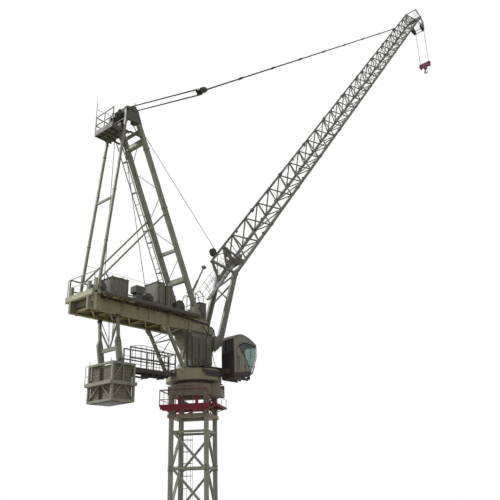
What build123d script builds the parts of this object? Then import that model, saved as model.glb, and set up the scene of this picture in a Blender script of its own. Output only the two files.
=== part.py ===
"""Luffing-jib tower crane, a scale model at 1:2. Millimetres, Z up.

The origin is the middle of the base frame's underside. The jib points along +X, the cab is on
the -Y side. Heights written as over_ring are measured from the slewing plane.
"""
from build123d import *
from math import atan2, cos, degrees, hypot, radians, sin
import os

# Small sizes that many pieces share
plate = 24
thin_plate = 12
clearance = 6
rope = 16
rung = 14
far_out = 60000

# Mast: square posts, rungs at each level and one diagonal in every bay
mast_width = 1000
mast_post = 105
mast_post_chamfer = 14
mast_bay = 855
mast_bays = 6
mast_turn = 30.7
mast_horizontal = 58
mast_diagonal = 52
mast_top_stub = 330
joint_collar_height = 70
joint_collar_over = 9
base_height = 160
base_beam = 200
base_web = 40
base_flange = 30
base_reach = 760
base_plate = 30
base_first_level = 60
anchor_pad = 380
anchor_at = 590
anchor_hole = 36
ladder_width = 200
ladder_rail = 26
ladder_step = 140
ladder_clip = 30

# Mast head, service platform and slewing ring
ring_gap = 900
head_frame_depth = 90
head_frame_over = 30
head_frame_border = 180
head_leg = 120
head_brace = 50
head_ring_width = 1060
head_ring_depth = 230
head_collar_depth = 60
head_collar_over = 30
head_bore_inset = 120
console_reach = 230
console_length = 460
console_drop = 320
console_slope = 130
platform_over_ring = -640
platform_depth = 50
platform_inner = 570
platform_near = 690
platform_left = 700
platform_right = 470
platform_console_right = 740
rail_height = 500
console_rail_height = 190
rail_tube = 26
race_radius = 540
race_depth = 65
race_bore = 440
race_gap = 6

# Turntable and slewing tower
side_spacing = 690
turntable_radius = 720
turntable_height = 276
turntable_flange = 26
turntable_flange_over = 14
turntable_hub = 520
tower_front = 373
tower_rear = -570
tower_cap_rear = -400
tower_core_rear = -270
tower_core_width = 480
tower_skirt_rear = -420
tower_skirt_width = 620
tower_skirt_height = 320
tower_cap_depth = 150
tower_haunch = 260
tower_top_over_ring = 1265
cabinet_low = 330
cabinet_high = 1075
cabinet_reach = 210
cabinet_front = -72
panel_front = 215
panel_reach = 150
panel_low = 420
panel_high = 1030
panel_gap = 20
door_inset = 10
door_border = 35

# Counter-jib
girder_depth = 385
girder_thickness = 34
girder_flange = 96
girder_flange_depth = 18
girder_rear = -3560
girder_front = 155
girder_stiffeners = (-2640, -1870, -1230, -540)
stiffener = 16
end_post = 70
end_post_over_deck = 210
cross_beam = 80
cross_beam_depth = 240
cross_beams = (-3440, -2620, -1700, -800)
rear_beam_over = 190
rear_beam_depth = 120
deck_front = -150
deck_thickness = 30
deck_beam_width = 70
walkway_width = 240
walkway_plate = 22
walkway_drop = 40
walkway_near_rear = -3330
walkway_near_front = -330
walkway_far_rear = -3510
walkway_far_front = -490
bracket_pitch = 480
bracket_depth = 90
winch_width = 420
winch_bed = 40
winch_lift = 70
winch_cheek = 30
winch_cheek_over = 40
winch_flange = 24
winch_flange_inset = 60
winch_shaft = 30
winch_motor_radius = 70
winch_motor_length = 120
drum_share = 0.8
luffing_winch_x = -3140
luffing_winch_radius = 140
hoist_winch_x = -1720
hoist_winch_radius = 150
hoist_drive_x = -2065
hoist_drive_width = 200
hoist_drive_height = 457
hoist_drive_head = 190
hoist_drive_head_length = 295
hoist_drive_neck = 180
auxiliary_winch_x = -655
auxiliary_winch_radius = 165
housing_width = 500
power_pack_rear = -2910
power_pack_front = -2430
power_pack_height = 500
power_pack_cap = 60
cabinet_a_rear = -1525
cabinet_a_front = -1275
cabinet_a_height = 690
cabinet_b_rear = -1255
cabinet_b_front = -1015
cabinet_b_height = 640
roof_over = 16
roof_depth = 14

# A-frame: raking legs in front, back stays behind, the sheave head on top
leg_width = 120
leg_depth = 95
leg_foot_x = -200
leg_top_x = -2560
leg_top_over_ring = 6900
leg_shoe = 250
leg_shoe_length = 330
leg_foot_pin = 34
stay_width = 62
stay_depth = 48
stay_foot_x = -3370
stay_top_x = -2790
stay_lug = 190
stay_lug_length = 120
head_below_top = 340
leg_members = ((-770, 130), (-500, 70), (-3530, 80), (-4270, 130))
stay_member_below = 2705
stay_member = 50
strut = 46
strut_low_over_deck = 336
strut_high_below = 2596
head_sheave_radius = 175
head_sheave_width = 36
head_sheave_rows = (-180, -110, 110, 180)
head_axle_x = -2600
head_axle_over_top = 30
head_aim_x = -2470
head_aim_over_top = 100
head_axle_radius = 36
head_cheek = 80
head_cheek_over_axle = 61
head_cheek_flat = 60
head_cheek_front = 271
head_cheek_rear = 45
deflector_x = -2815
deflector_below_axle = 100
deflector_radius = 90
deflector_axle_radius = 20
deflector_row = 60
groove = 7
groove_share = 0.6
head_platform_rear = 445
head_platform_length = 535
head_platform_far = 85
head_platform_below = 700
head_rail_tube = 20
rope_opening = 3
head_ladder_gap = 20
head_ladder_width = 180
head_ladder_rail = 20
head_ladder_step = 280
head_ladder_behind = 90
head_ladder_rests = (0.1, 0.5, 0.9)
stop_low_over_deck = 550
stop_high_over_deck = 1440
stop_reach = 478
stop_rod = 44
stop_pad_height = 110
stop_pad_width = 110
stop_pad_depth = 36

# Knee braces, rear walkway and cab
knee_high_x = -1330
knee_low_x = -640
knee_width = 70
rear_walk_level = 110
rear_walk_width = 300
rear_walk_plate = 30
rear_walk_rear_gap = 30
cab_rear = 463
cab_near = -1030
cab_far = -570
cab_wall = 28
cab_profile = ((463, 60), (463, 1110), (530, 1165), (640, 1205), (730, 1215), (928, 1195), (1127, 1130),
               (1345, 1030), (1333, 700), (1241, 473), (1102, 215), (1040, 150))
cab_window = ((642, 924), (762, 1005), (961, 1030), (1160, 1010), (1400, 960), (1400, 680), (1290, 460),
              (1130, 215), (1016, 393), (924, 566))
cab_rear_window = (-990, -700, 763, 1080)
cab_roof_round = 22
cab_round_from = 1060
pane_inset = 8
pane_thickness = 8
cab_arm_rear = 300
cab_arm_front = 1010
cab_arm_near = -900
cab_arm_low = 190
cab_arm_high = 300

# Jib, in its own frame: s along the chords, t square to them, the foot pin at zero
pivot_x = 610
pivot_over_ring = 1095
luff_at_rest = 50.1
chord_offset = 834
jib_depth = 690
chord_spacing = 690
chord_size = 80
top_chord_size = 72
jib_frame_s = 2864
jib_bay = 979
jib_bays = 25
crank_s = 2060
top_chord_start = 1903
lacing_side = 34
lacing_bottom = 32
lug_s = 24685
lug_t = 1592
lug_length = 150
lug_thickness = 24
pin = 60
foot_boss = 190
foot_leg_low = 200
foot_leg_high = 150
foot_leg_thickness = 70
foot_leg_hole_s = 368
foot_leg_hole_t = 162
foot_leg_hole = 64
foot_post = 130
foot_post_narrow = 80
foot_post_thickness = 60
foot_walk_start = 950
foot_walk_width = 150
foot_walk_depth = 40
foot_walk_lift = 16
foot_walk_hold = 1450
foot_frame_back = 150
foot_frame_bar = 80
foot_frame_brace = 60
foot_cross_bar = 50
foot_tie = 40
foot_tie_high = 0.86
foot_tie_low = 0.62
foot_sheave_s = 2200
foot_sheave_radius = 90
foot_sheave_lift = 96
jib_bracket_plate = 24
jib_bracket_gap = 5
jib_bracket_round = 100
jib_bracket_low = 800
jib_bracket_fin = 60
jib_sheave_s = 28665
jib_sheave_t = 256
jib_sheave_radius = 190
jib_axle = 48
head_chord_end = 29100
head_top_end = 27910
head_frame_s = 28230
head_post_top_s = 28808
head_post_top_t = 1389
head_post = 44
head_bar = 60
head_floor = 24
head_cheek_size = 190

# Pendants, ropes and hook
falls_length = 3512
pendant_spread = 35
pendant_bar = 34
pendant_links = 8
pendant_joint = 64
pendant_end = 150
block_plate = 16
block_plate_length = 300
block_plate_height = 190
block_plate_at = 95
block_sheave_radius = 90
block_sheave_width = 28
block_sheave_at = 50
falls_at_head = 2.2
falls_high_at_head = 222
falls_low_at_head = 40
falls_past_head = 95
falls_short_of_head = 50
hook_rope_spacing = 530
hook_drop = 2360
block_height = 400
block_half_width = 325
block_side_height = 90
block_thickness = 120
hook_wire = 62
hook_bend = 82
hook_turn = 255
hook_shank = 130
hook_gap = 8

# Counterweight
ballast_x = -2605
ballast_top_over_ring = 165
ballast_height = 870
ballast_length = 600
ballast_width = 860
ballast_slabs = 9
slab_gap = 14
slab_joint = 8
cage_bar = 50
cage_belt_share = 0.49
cage_belt_depth = 80
cage_belt_over = 60
cage_belt_rear = 90
hanger_bar = 60
hanger_top_x = -2775
hanger_mid_x = -2735
hanger_foot_x = -2650
hanger_plate_top = 780
hanger_plate_mid = 640
hanger_plate_width = 150
hanger_cross = 500
hanger_cross_depth = 90
hanger_brace = 30
hanger_brace_high = 1080

lowest_level = base_height + base_first_level
highest_level = lowest_level + mast_bays * mast_bay
mast_top = highest_level + mast_top_stub
ring_z = mast_top + ring_gap
half = side_spacing / 2
axis_of_jib = chord_spacing / 2


def rz(over_ring):
    """Height above the ground of a level given above the slewing plane."""
    return ring_z + over_ring


girder_low = rz(tower_top_over_ring)
girder_top = girder_low + girder_depth
deck = girder_top + deck_thickness
leg_top = rz(leg_top_over_ring)
head_low = leg_top - head_below_top


def member(start, end, width, depth=None, up=(0, 0, 1)):
    """Rectangular bar between two points; depth is measured towards up."""
    a, b = Vector(*start), Vector(*end)
    line = (b - a).normalized()
    side = Vector(*up).cross(line)
    if side.length == 0:
        side = Vector(0, 1, 0)
    plane = Plane(origin=a, x_dir=side.normalized(), z_dir=line)
    return extrude(plane * Rectangle(width, depth or width), (b - a).length)


def rod(start, end, diameter, sides=8):
    """Many-sided round bar between two points."""
    a, b = Vector(*start), Vector(*end)
    plane = Plane(origin=a, z_dir=(b - a).normalized())
    return extrude(plane * RegularPolygon(diameter / 2, sides), (b - a).length)


def tube(start, end, diameter):
    """True round bar between two points."""
    a, b = Vector(*start), Vector(*end)
    return extrude(Plane(origin=a, z_dir=(b - a).normalized()) * Circle(diameter / 2), (b - a).length)


def block(x0, x1, y0, y1, z0, z1):
    """Box between two corners."""
    return Pos((x0 + x1) / 2, (y0 + y1) / 2, (z0 + z1) / 2) * Box(x1 - x0, y1 - y0, z1 - z0)


def profile_plate(points, y, thickness):
    """Flat plate with an outline in X and Z, centred on y."""
    outline = make_face(Plane.XZ * Polyline(*points, close=True))
    return Pos(0, y, 0) * extrude(outline, thickness / 2, both=True)


def disc(x, y, z, radius, width):
    """Round disc whose axle lies along Y."""
    return Pos(x, y, z) * Rot(90, 0, 0) * Cylinder(radius, width)


def sheave(x, y, z, radius, width):
    """Rope sheave with a groove in its rim."""
    half_width = width / 2
    floor = radius - groove
    lip = half_width * groove_share
    outline = Polyline((0, -half_width), (radius, -half_width), (radius, -lip), (floor, 0),
                       (radius, lip), (radius, half_width), (0, half_width), close=True)
    wheel = revolve(make_face(Plane.XZ * outline), Axis.Z)
    return Pos(x, y, z) * Rot(90, 0, 0) * wheel


def fuse(shapes):
    """All shapes as one."""
    first, *rest = shapes
    return first.fuse(*rest).clean() if rest else first


def save(name, shape, place=None):
    """Write one named piece, moved to its place."""
    if isinstance(shape, (list, tuple, ShapeList)):
        shape = Compound(children=list(shape))
    if place is not None:
        shape = place * shape
    export_step(shape, f"parts/{name}.step")
    return shape


def mirrored(shape):
    """The same shape on the other side of the crane."""
    return shape.mirror(Plane.XZ)


def lattice_side(width, height, levels, bar, thickness):
    """One flat mast side in the XZ plane: rungs at each level and one diagonal in every bay."""
    lines = [Pos(0, level) * Rectangle(width, bar[0]) for level in levels]
    for low, high in zip(levels, levels[1:]):
        rise = high - low
        length = hypot(width, rise) + width / 4
        turn = -degrees(atan2(rise, width))
        lines.append(Pos(0, (low + high) / 2) * Rot(0, 0, turn) * Rectangle(length, bar[1]))
    flat = (Sketch() + lines) & (Pos(0, height / 2) * Rectangle(width, height))
    return extrude(Plane.XZ * flat, thickness / 2, both=True)


def girder_beam(length, across, depth):
    """I-shaped beam along X, centred, standing on zero."""
    flanges = [Pos(0, 0, z) * Box(length, across, base_flange)
               for z in (base_flange / 2, depth - base_flange / 2)]
    web = Pos(0, 0, depth / 2) * Box(length, base_web, depth)
    return fuse(flanges + [web])


def mast():
    """Square lattice mast on its base frame, turned to stand as in the yard."""
    turn = Rot(0, 0, mast_turn)
    centre = mast_width / 2 - mast_post / 2
    corners = [(-centre, -centre), (centre, -centre), (centre, centre), (-centre, centre)]
    levels = [lowest_level + i * mast_bay for i in range(mast_bays + 1)]
    posts = []
    for x, y in corners:
        post = block(x - mast_post / 2, x + mast_post / 2, y - mast_post / 2, y + mast_post / 2,
                     base_height, mast_top)
        post = chamfer(post.edges().filter_by(Axis.Z), mast_post_chamfer)
        shift = joint_collar_over / 2
        collar = Pos(x + (shift if x > 0 else -shift), y + (shift if y > 0 else -shift),
                     base_height + joint_collar_height / 2) * Box(
            mast_post + joint_collar_over, mast_post + joint_collar_over, joint_collar_height)
        posts.append(fuse([post, collar]))
    save("mast_posts", posts, turn)

    clear = mast_width - 2 * mast_post
    for index, name in enumerate(("front", "left", "rear", "right")):
        side = lattice_side(clear, mast_top, levels, (mast_horizontal, mast_diagonal), mast_horizontal)
        save(f"mast_side_{name}", turn * Rot(0, 0, 90 * index) * Pos(0, -centre, 0) * side)

    beams = []
    for s in (-1, 1):
        beam = girder_beam(2 * base_reach, base_beam, base_height)
        beams.append(Pos(0, s * centre, 0) * beam)
        beams.append(Rot(0, 0, 90) * Pos(0, s * centre, 0) * beam)
    beams.append(girder_beam(2 * centre, base_beam, base_height))
    beams.append(Rot(0, 0, 90) * girder_beam(2 * centre, base_beam, base_height))
    beams += [Pos(x, y, base_plate / 2) * Box(anchor_pad, anchor_pad, base_plate) for x, y in corners]
    beams += [Pos(x, y, base_height / 2) * Box(base_beam, base_beam, base_height) for x, y in corners]
    holes = [Pos(x * anchor_at, y * anchor_at, 0) * Cylinder(anchor_hole / 2, 4 * base_plate)
             for x in (-1, 1) for y in (-1, 1)]
    save("base_frame", fuse(beams) - holes, turn)

    ladder_y = centre - mast_post
    rails = [block(s * ladder_width / 2 - ladder_rail / 2, s * ladder_width / 2 + ladder_rail / 2,
                   ladder_y - ladder_rail / 2, ladder_y + ladder_rail / 2, base_height, mast_top)
             for s in (-1, 1)]
    steps = int((mast_top - base_height) / ladder_step)
    rungs = []
    for i in range(steps):
        z = base_height + (i + 1 / 2) * ladder_step
        rungs.append(block(-ladder_width / 2, ladder_width / 2, ladder_y - rung / 2, ladder_y + rung / 2,
                           z - rung / 2, z + rung / 2))
    clips = [block(-ladder_width / 2, ladder_width / 2, ladder_y, centre - mast_horizontal / 2,
                   level - ladder_clip / 2, level + ladder_clip / 2) for level in levels]
    save("mast_ladder", fuse(rails + rungs + clips), turn)


def guard_rail(line, low, height=rail_height, tube_size=rail_tube):
    """Posts at each corner of a line, a top rail and a knee rail."""
    bars = []
    for x, y in line:
        bars.append(block(x - tube_size / 2, x + tube_size / 2, y - tube_size / 2, y + tube_size / 2,
                          low, low + height))
    for (x0, y0), (x1, y1) in zip(line, line[1:]):
        for level in (height, height / 2):
            z = low + level
            bars.append(block(min(x0, x1) - tube_size / 2, max(x0, x1) + tube_size / 2,
                              min(y0, y1) - tube_size / 2, max(y0, y1) + tube_size / 2, z - tube_size, z))
    return bars


def mast_head():
    """Frame on the mast's top that carries the slewing ring, with its service platform."""
    turn = Rot(0, 0, mast_turn)
    half_mast = mast_width / 2
    low = mast_top + head_frame_depth
    ring_high = rz(-race_depth - head_collar_depth)
    ring_low = ring_high - head_ring_depth
    outer = half_mast + head_frame_over
    inner = outer - head_frame_border
    frame = block(-outer, outer, -outer, outer, mast_top, low)
    frame -= block(-inner, inner, -inner, inner, mast_top - head_frame_depth, low + head_frame_depth)
    ring_half = head_ring_width / 2
    box = block(-ring_half, ring_half, -ring_half, ring_half, ring_low, ring_high)
    collar = Pos(0, 0, ring_high + head_collar_depth / 2) * Cylinder(race_radius + head_collar_over,
                                                                     head_collar_depth)
    bore = Pos(0, 0, ring_high) * Cylinder(race_radius - head_bore_inset, 4 * head_ring_depth)
    corner = half_mast - mast_post / 2
    legs = [block(x * corner - head_leg / 2, x * corner + head_leg / 2, y * corner - head_leg / 2,
                  y * corner + head_leg / 2, low, ring_low) for x in (-1, 1) for y in (-1, 1)]
    trim = block(-half_mast, half_mast, -half_mast, half_mast, low, ring_low)
    brace = member((-corner, corner, low), (corner, corner, ring_low), head_brace)
    braces = [trim & Rot(0, 0, 90 * k) * brace for k in range(4)]
    console_top = rz(-race_depth)
    outline = Polyline((-ring_half + head_leg, console_top), (-ring_half, console_top),
                       (-ring_half - console_reach, console_top - console_slope),
                       (-ring_half - console_reach - clearance, console_top - console_drop),
                       (-ring_half + head_leg, console_top - console_drop), close=True)
    console = Pos(console_length / 2) * extrude(make_face(Plane.YZ * outline), -console_length)
    hollow = Pos(0, 0, ring_high + head_collar_depth / 2) * Cylinder(race_bore + clearance,
                                                                     2 * head_collar_depth)
    save("mast_head", fuse([frame, box, collar, console] + legs + braces) - bore - hollow, turn)

    floor = rz(platform_over_ring)
    top = floor + platform_depth
    deck_plate = block(-platform_near, platform_near, -platform_right, platform_left, floor, top)
    aside = -platform_console_right
    deck_plate += block(-platform_inner - platform_depth, platform_inner / 2, aside, -platform_right,
                        floor, top)
    deck_plate -= block(-platform_inner, platform_inner, -platform_inner, platform_inner, 0, far_out)
    leg_hold = corner + head_leg / 2
    for sx, sy in ((-1, -1), (1, -1), (1, 1), (-1, 1)):
        arm = block(min(sx * leg_hold, sx * platform_near), max(sx * leg_hold, sx * platform_near),
                    sy * corner - platform_depth / 2, sy * corner + platform_depth / 2, floor, top)
        keep = block(-platform_near, platform_near, -platform_console_right, platform_left, floor, top)
        deck_plate += arm & keep
    edge = rail_tube / 2
    near, left, right = platform_near - edge, platform_left - edge, platform_right - edge
    rails = guard_rail([(-near, -right), (-near, left / 3), (-near, left), (0, left), (near, left),
                        (near, left / 3), (near, -right)], top)
    rails += guard_rail([(-platform_inner + edge, aside + edge), (0, aside + edge),
                         (platform_inner / 2 - edge, aside + edge)], top, console_rail_height)
    save("service_platform", fuse([deck_plate] + rails), turn)

    race = Pos(0, 0, rz(-race_depth / 2)) * Cylinder(race_radius, race_depth)
    race -= Pos(0, 0, rz(-race_depth / 2)) * Cylinder(race_bore, 2 * race_depth)
    race = chamfer(race.edges().group_by(Axis.Z)[-1].sort_by(SortBy.RADIUS)[-1:], race_gap)
    save("slewing_race", race)


def framed_door(x0, x1, y, z0, z1):
    """Shallow recess that leaves a door's border on a housing side."""
    return block(x0 + door_border, x1 - door_border, y - door_inset, y + door_inset,
                 z0 + door_border, z1 - door_border)


def turntable():
    """Drum on the slewing ring and the box tower on it."""
    low = rz(race_gap)
    top = rz(turntable_height)
    r = turntable_radius
    over = r + turntable_flange_over
    points = ((race_bore, low), (r, low), (r, top - turntable_flange), (over, top - turntable_flange),
              (over, top), (turntable_hub, top), (turntable_hub, top - turntable_flange),
              (r - 2 * plate, top - turntable_flange), (r - 2 * plate, low + turntable_flange),
              (race_bore, low + turntable_flange))
    save("turntable", revolve(make_face(Plane.XZ * Polyline(*points, close=True)), Axis.Z))

    cap_low = girder_low - tower_cap_depth
    haunch_low = cap_low - tower_haunch
    skirt_top = top + tower_skirt_height
    w_core, w_skirt = tower_core_width / 2, tower_skirt_width / 2
    w_cap = half - girder_thickness / 2

    def slice_at(z, x0, x1, w):
        return Plane(origin=((x0 + x1) / 2, 0, z)) * Rectangle(x1 - x0, 2 * w)

    skirt = loft([slice_at(top, tower_skirt_rear, tower_front, w_skirt),
                  slice_at(skirt_top, tower_core_rear, tower_front, w_core)])
    core = block(tower_core_rear, tower_front, -w_core, w_core, skirt_top, haunch_low)
    haunch = loft([slice_at(haunch_low, tower_core_rear, tower_front, w_core),
                   slice_at(cap_low, tower_cap_rear, tower_front, w_cap)])
    cap = block(tower_cap_rear, tower_front, -w_cap, w_cap, cap_low, girder_low)
    hole = block(tower_core_rear - 2 * plate, tower_front + plate, -w_core / 2, w_core / 2,
                 skirt_top + plate, haunch_low - plate)
    save("slewing_tower", fuse([skirt, core, haunch, cap]) - hole)

    inner = -w_core
    outer = -half - cabinet_reach + girder_thickness
    cabinet = block(tower_rear, cabinet_front, outer, inner, rz(cabinet_low), rz(cabinet_high))
    cut = fuse([skirt, haunch, cap])
    door = framed_door(tower_rear, cabinet_front, outer, rz(cabinet_low), rz(cabinet_high))
    cabinet = cabinet - cut - door
    panel_out = -half - panel_reach + girder_thickness
    panel = block(cabinet_front + panel_gap, panel_front, panel_out, inner, rz(panel_low), rz(panel_high))
    panel = panel - cut - framed_door(cabinet_front + panel_gap, panel_front, panel_out,
                                      rz(panel_low), rz(panel_high))
    save("tower_cabinets", [cabinet, panel])


def winch(x, radius):
    """Rope drum between two cheeks on a bed, with its motor on the far side."""
    axle = deck + radius + winch_lift
    edge = winch_width / 2
    drum = fuse([disc(x, 0, axle, radius * drum_share, winch_width - winch_flange_inset),
                 disc(x, 0, axle, winch_shaft, winch_width)])
    flanges = [disc(x, y, axle, radius, winch_flange)
               for y in (-edge + winch_flange_inset, edge - winch_flange_inset)]
    cheeks = []
    for y in (-edge, edge):
        outline = ((x - radius, deck), (x + radius, deck), (x + radius / 2, axle + winch_cheek_over),
                   (x - radius / 2, axle + winch_cheek_over))
        cheeks.append(profile_plate(outline, y, winch_cheek))
    side = edge + winch_cheek / 2
    bed = block(x - radius, x + radius, -side, side, deck, deck + winch_bed)
    motor = disc(x, edge + winch_motor_length / 2, axle, winch_motor_radius, winch_motor_length)
    brake = disc(x, -edge - winch_cheek, axle, winch_motor_radius, winch_cheek)
    return fuse([drum, bed, motor, brake] + flanges + cheeks)


def hoist_drive():
    """Drive of the hoist winch: a broad head on a neck, on the same bed as the drum."""
    y = -housing_width / 2 + hoist_drive_width / 2
    neck_top = deck + hoist_drive_height - hoist_drive_head
    back, ahead = hoist_drive_x - hoist_drive_head_length / 2, hoist_drive_x + hoist_drive_head_length / 2
    side = hoist_drive_width / 2
    head = block(back, ahead, y - side, y + side, neck_top, deck + hoist_drive_height)
    head = chamfer(head.edges().filter_by(Axis.Y), plate)
    neck = block(hoist_drive_x - hoist_drive_neck / 2, hoist_drive_x + hoist_drive_neck / 2,
                 y - side + plate, y + side - plate, deck, neck_top)
    bed = block(back, hoist_winch_x, y - side, y + side, deck, deck + winch_bed)
    return fuse([head, neck, bed])


def housing(x0, x1, width, height):
    """Sheet housing with a lid that stands proud and doors on both sides."""
    w = width / 2
    body = block(x0, x1, -w, w, deck, deck + height)
    for side in (-w, w):
        middle = (x0 + x1) / 2
        body -= framed_door(x0, middle, side, deck, deck + height)
        body -= framed_door(middle, x1, side, deck, deck + height)
    lid = block(x0 - roof_over, x1 + roof_over, -w - roof_over, w + roof_over,
                deck + height, deck + height + roof_depth)
    return fuse([body, lid])


def counter_jib():
    """Two plate girders, the deck and what stands on it."""
    low, top = girder_low, girder_top
    edge = girder_flange / 2
    web = block(girder_rear, girder_front, -girder_thickness / 2, girder_thickness / 2, low, top)
    flanges = [block(girder_rear, girder_front, -edge, edge, z, z + girder_flange_depth)
               for z in (low, top - girder_flange_depth)]
    ribs = [block(x - stiffener / 2, x + stiffener / 2, -edge + clearance, edge - clearance, low, top)
            for x in girder_stiffeners]
    girder = fuse([web] + flanges + ribs)
    save("counter_jib_girders", [Pos(0, y, 0) * girder for y in (-half, half)])

    inner = half - girder_flange / 2
    outer = half + girder_flange / 2
    beams = [block(x - cross_beam / 2, x + cross_beam / 2, -inner, inner, top - cross_beam_depth, top)
             for x in cross_beams]
    rear = girder_rear - deck_beam_width
    beams.append(block(rear, girder_rear, -half - rear_beam_over, half + rear_beam_over,
                       top - rear_beam_depth, top + deck_thickness))
    for y in (-half, half):
        beams.append(block(rear, girder_rear, y - end_post / 2, y + end_post / 2,
                           low, deck + end_post_over_deck))
    beams.append(block(girder_rear, deck_front, -outer, outer, top, deck))
    save("counter_jib_deck", fuse(beams))

    def walkway(x0, x1, inside):
        level = top - walkway_drop
        floor = [block(x0, x1, inside, inside + walkway_width, level, level + walkway_plate)]
        edge = inside + walkway_width
        floor.append(rod((x0, edge, level + walkway_plate / 2), (x1, edge, level + walkway_plate / 2),
                         2 * rail_tube))
        x = x0 + bracket_pitch / 4
        while x < x1:
            outline = Polyline((inside, level), (edge, level), (inside, level - bracket_depth), close=True)
            floor.append(Pos(x, 0, 0) * extrude(make_face(Plane.YZ * outline), thin_plate / 2, both=True))
            x += bracket_pitch
        return floor, edge, level + walkway_plate

    floor, edge, level = walkway(walkway_near_rear, walkway_near_front, outer)
    save("side_walkway_near", mirrored(fuse(floor)))
    floor, edge, level = walkway(walkway_far_rear, walkway_far_front, outer)
    posts = int((walkway_far_front - walkway_far_rear) / bracket_pitch)
    line = [(walkway_far_rear + rail_tube + i * bracket_pitch, edge - rail_tube) for i in range(posts + 1)]
    save("side_walkway_far", fuse(floor + guard_rail(line, level, rail_height + walkway_drop)))

    save("luffing_winch", winch(luffing_winch_x, luffing_winch_radius))
    save("hoist_winch", fuse([winch(hoist_winch_x, hoist_winch_radius), hoist_drive()]))
    save("auxiliary_winch", winch(auxiliary_winch_x, auxiliary_winch_radius))
    pack = [housing(power_pack_rear, power_pack_front, housing_width, power_pack_height)]
    middle = (power_pack_rear + power_pack_front) / 2
    top = deck + power_pack_height + roof_depth
    pack.append(Pos(middle, 0, top + power_pack_cap / 2) * Cylinder(2 * power_pack_cap, power_pack_cap))
    save("power_pack", fuse(pack))
    save("switch_cabinets", [housing(cabinet_a_rear, cabinet_a_front, housing_width, cabinet_a_height),
                             housing(cabinet_b_rear + 2 * roof_over, cabinet_b_front, housing_width,
                                     cabinet_b_height)])


def leg_x(z):
    """X of a raking leg's centre line at a height."""
    return leg_foot_x + (leg_top_x - leg_foot_x) * (z - deck) / (leg_top - deck)


def stay_x(z):
    """X of a back stay's centre line at a height."""
    return stay_foot_x + (stay_top_x - stay_foot_x) * (z - deck) / (leg_top - deck)


def a_leg(y):
    """Box of one raking leg, from the deck to the head."""
    low, high = (leg_x(deck), y, deck), (leg_x(head_low), y, head_low)
    return member(low, high, leg_depth, leg_width, up=(1, 0, 0))


def a_stay(y):
    """Box of one back stay, from the deck to the head."""
    low, high = (stay_x(deck), y, deck), (stay_x(head_low), y, head_low)
    return member(low, high, stay_depth, stay_width, up=(1, 0, 0))


def a_frame():
    """Two raking legs, two back stays and the sheave head that they carry."""
    between = block(-far_out, far_out, -far_out, far_out, deck, head_low)
    legs, stays = [], []
    shoe_x, lug_x = leg_x(deck + leg_shoe), stay_x(deck + stay_lug)
    for y in (-half, half):
        shoe = profile_plate(((leg_foot_x - leg_shoe_length / 2, deck),
                              (leg_foot_x + leg_shoe_length / 3, deck),
                              (shoe_x + leg_width / 2, deck + leg_shoe),
                              (shoe_x - leg_width / 2, deck + leg_shoe)), y, leg_depth)
        bolt = disc(leg_foot_x, y, deck + leg_foot_pin * 2, leg_foot_pin, leg_depth + plate)
        legs.append(fuse([a_leg(y), shoe, bolt]) & between)
        lug = profile_plate(((stay_foot_x - stay_lug_length / 2, deck),
                             (stay_foot_x + stay_lug_length / 2, deck),
                             (lug_x + stay_width / 2, deck + stay_lug),
                             (lug_x - stay_width / 2, deck + stay_lug)), y, stay_depth)
        stays.append(fuse([a_stay(y), lug]) & between)
    save("a_frame_legs", legs)
    save("back_stays", [stay - a_leg(y) for stay, y in zip(stays, (-half, half))])

    inner = half - leg_depth / 2
    spans = []
    for below, size in leg_members:
        z = leg_top + below
        spans.append(Pos(leg_x(z), 0, z) * Box(size, 2 * inner, size))
    save("a_frame_cross_members", spans)

    z = leg_top - stay_member_below
    struts = [Pos(stay_x(z), 0, z) * Box(stay_member, 2 * half - stay_depth, stay_member)]
    for y in (-half, half):
        low, high = deck + strut_low_over_deck, leg_top - strut_high_below
        bar = rod((stay_x(low), y, low), (leg_x(high), y, high), strut, 6)
        struts.append(bar - a_leg(y) - a_stay(y))
    save("a_frame_struts", struts)
    sheave_head()
    head_deck()

    ladder = []
    out = half + leg_depth / 2
    low, high = deck + leg_shoe, head_low - head_cheek_over_axle
    near, far = out + head_ladder_gap, out + head_ladder_gap + head_ladder_width
    back = head_ladder_behind
    for y in (near, far):
        ladder.append(member((leg_x(low) - back, y, low), (leg_x(high) - back, y, high), head_ladder_rail))
    count = int((high - low) / head_ladder_step)
    for i in range(1, count):
        z = low + i * head_ladder_step
        ladder.append(block(leg_x(z) - back - rung / 2, leg_x(z) - back + rung / 2, near, far,
                            z - rung / 2, z + rung / 2))
    for share in head_ladder_rests:
        z = low + share * (high - low)
        ladder.append(block(leg_x(z) - back - rung / 2, leg_x(z), out - rung, near, z - rung, z + rung))
    save("a_frame_ladder", fuse(ladder) - a_leg(half))

    low, high = deck + stop_low_over_deck, deck + stop_high_over_deck
    start = (leg_x(low), -half, low)
    reach = (leg_x(low) + stop_reach, -half, high)
    stop = [rod(start, reach, stop_rod), rod(start, tuple((a + b) / 2 for a, b in zip(start, reach)),
                                             stop_rod + plate)]
    line = (Vector(*reach) - Vector(*start)).normalized()
    pad = Plane(origin=reach, x_dir=(0, 1, 0), z_dir=line) * Rectangle(stop_pad_width, stop_pad_height)
    stop.append(extrude(pad, stop_pad_depth / 2, both=True))
    save("jib_back_stop", fuse(stop) - a_leg(-half))


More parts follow.
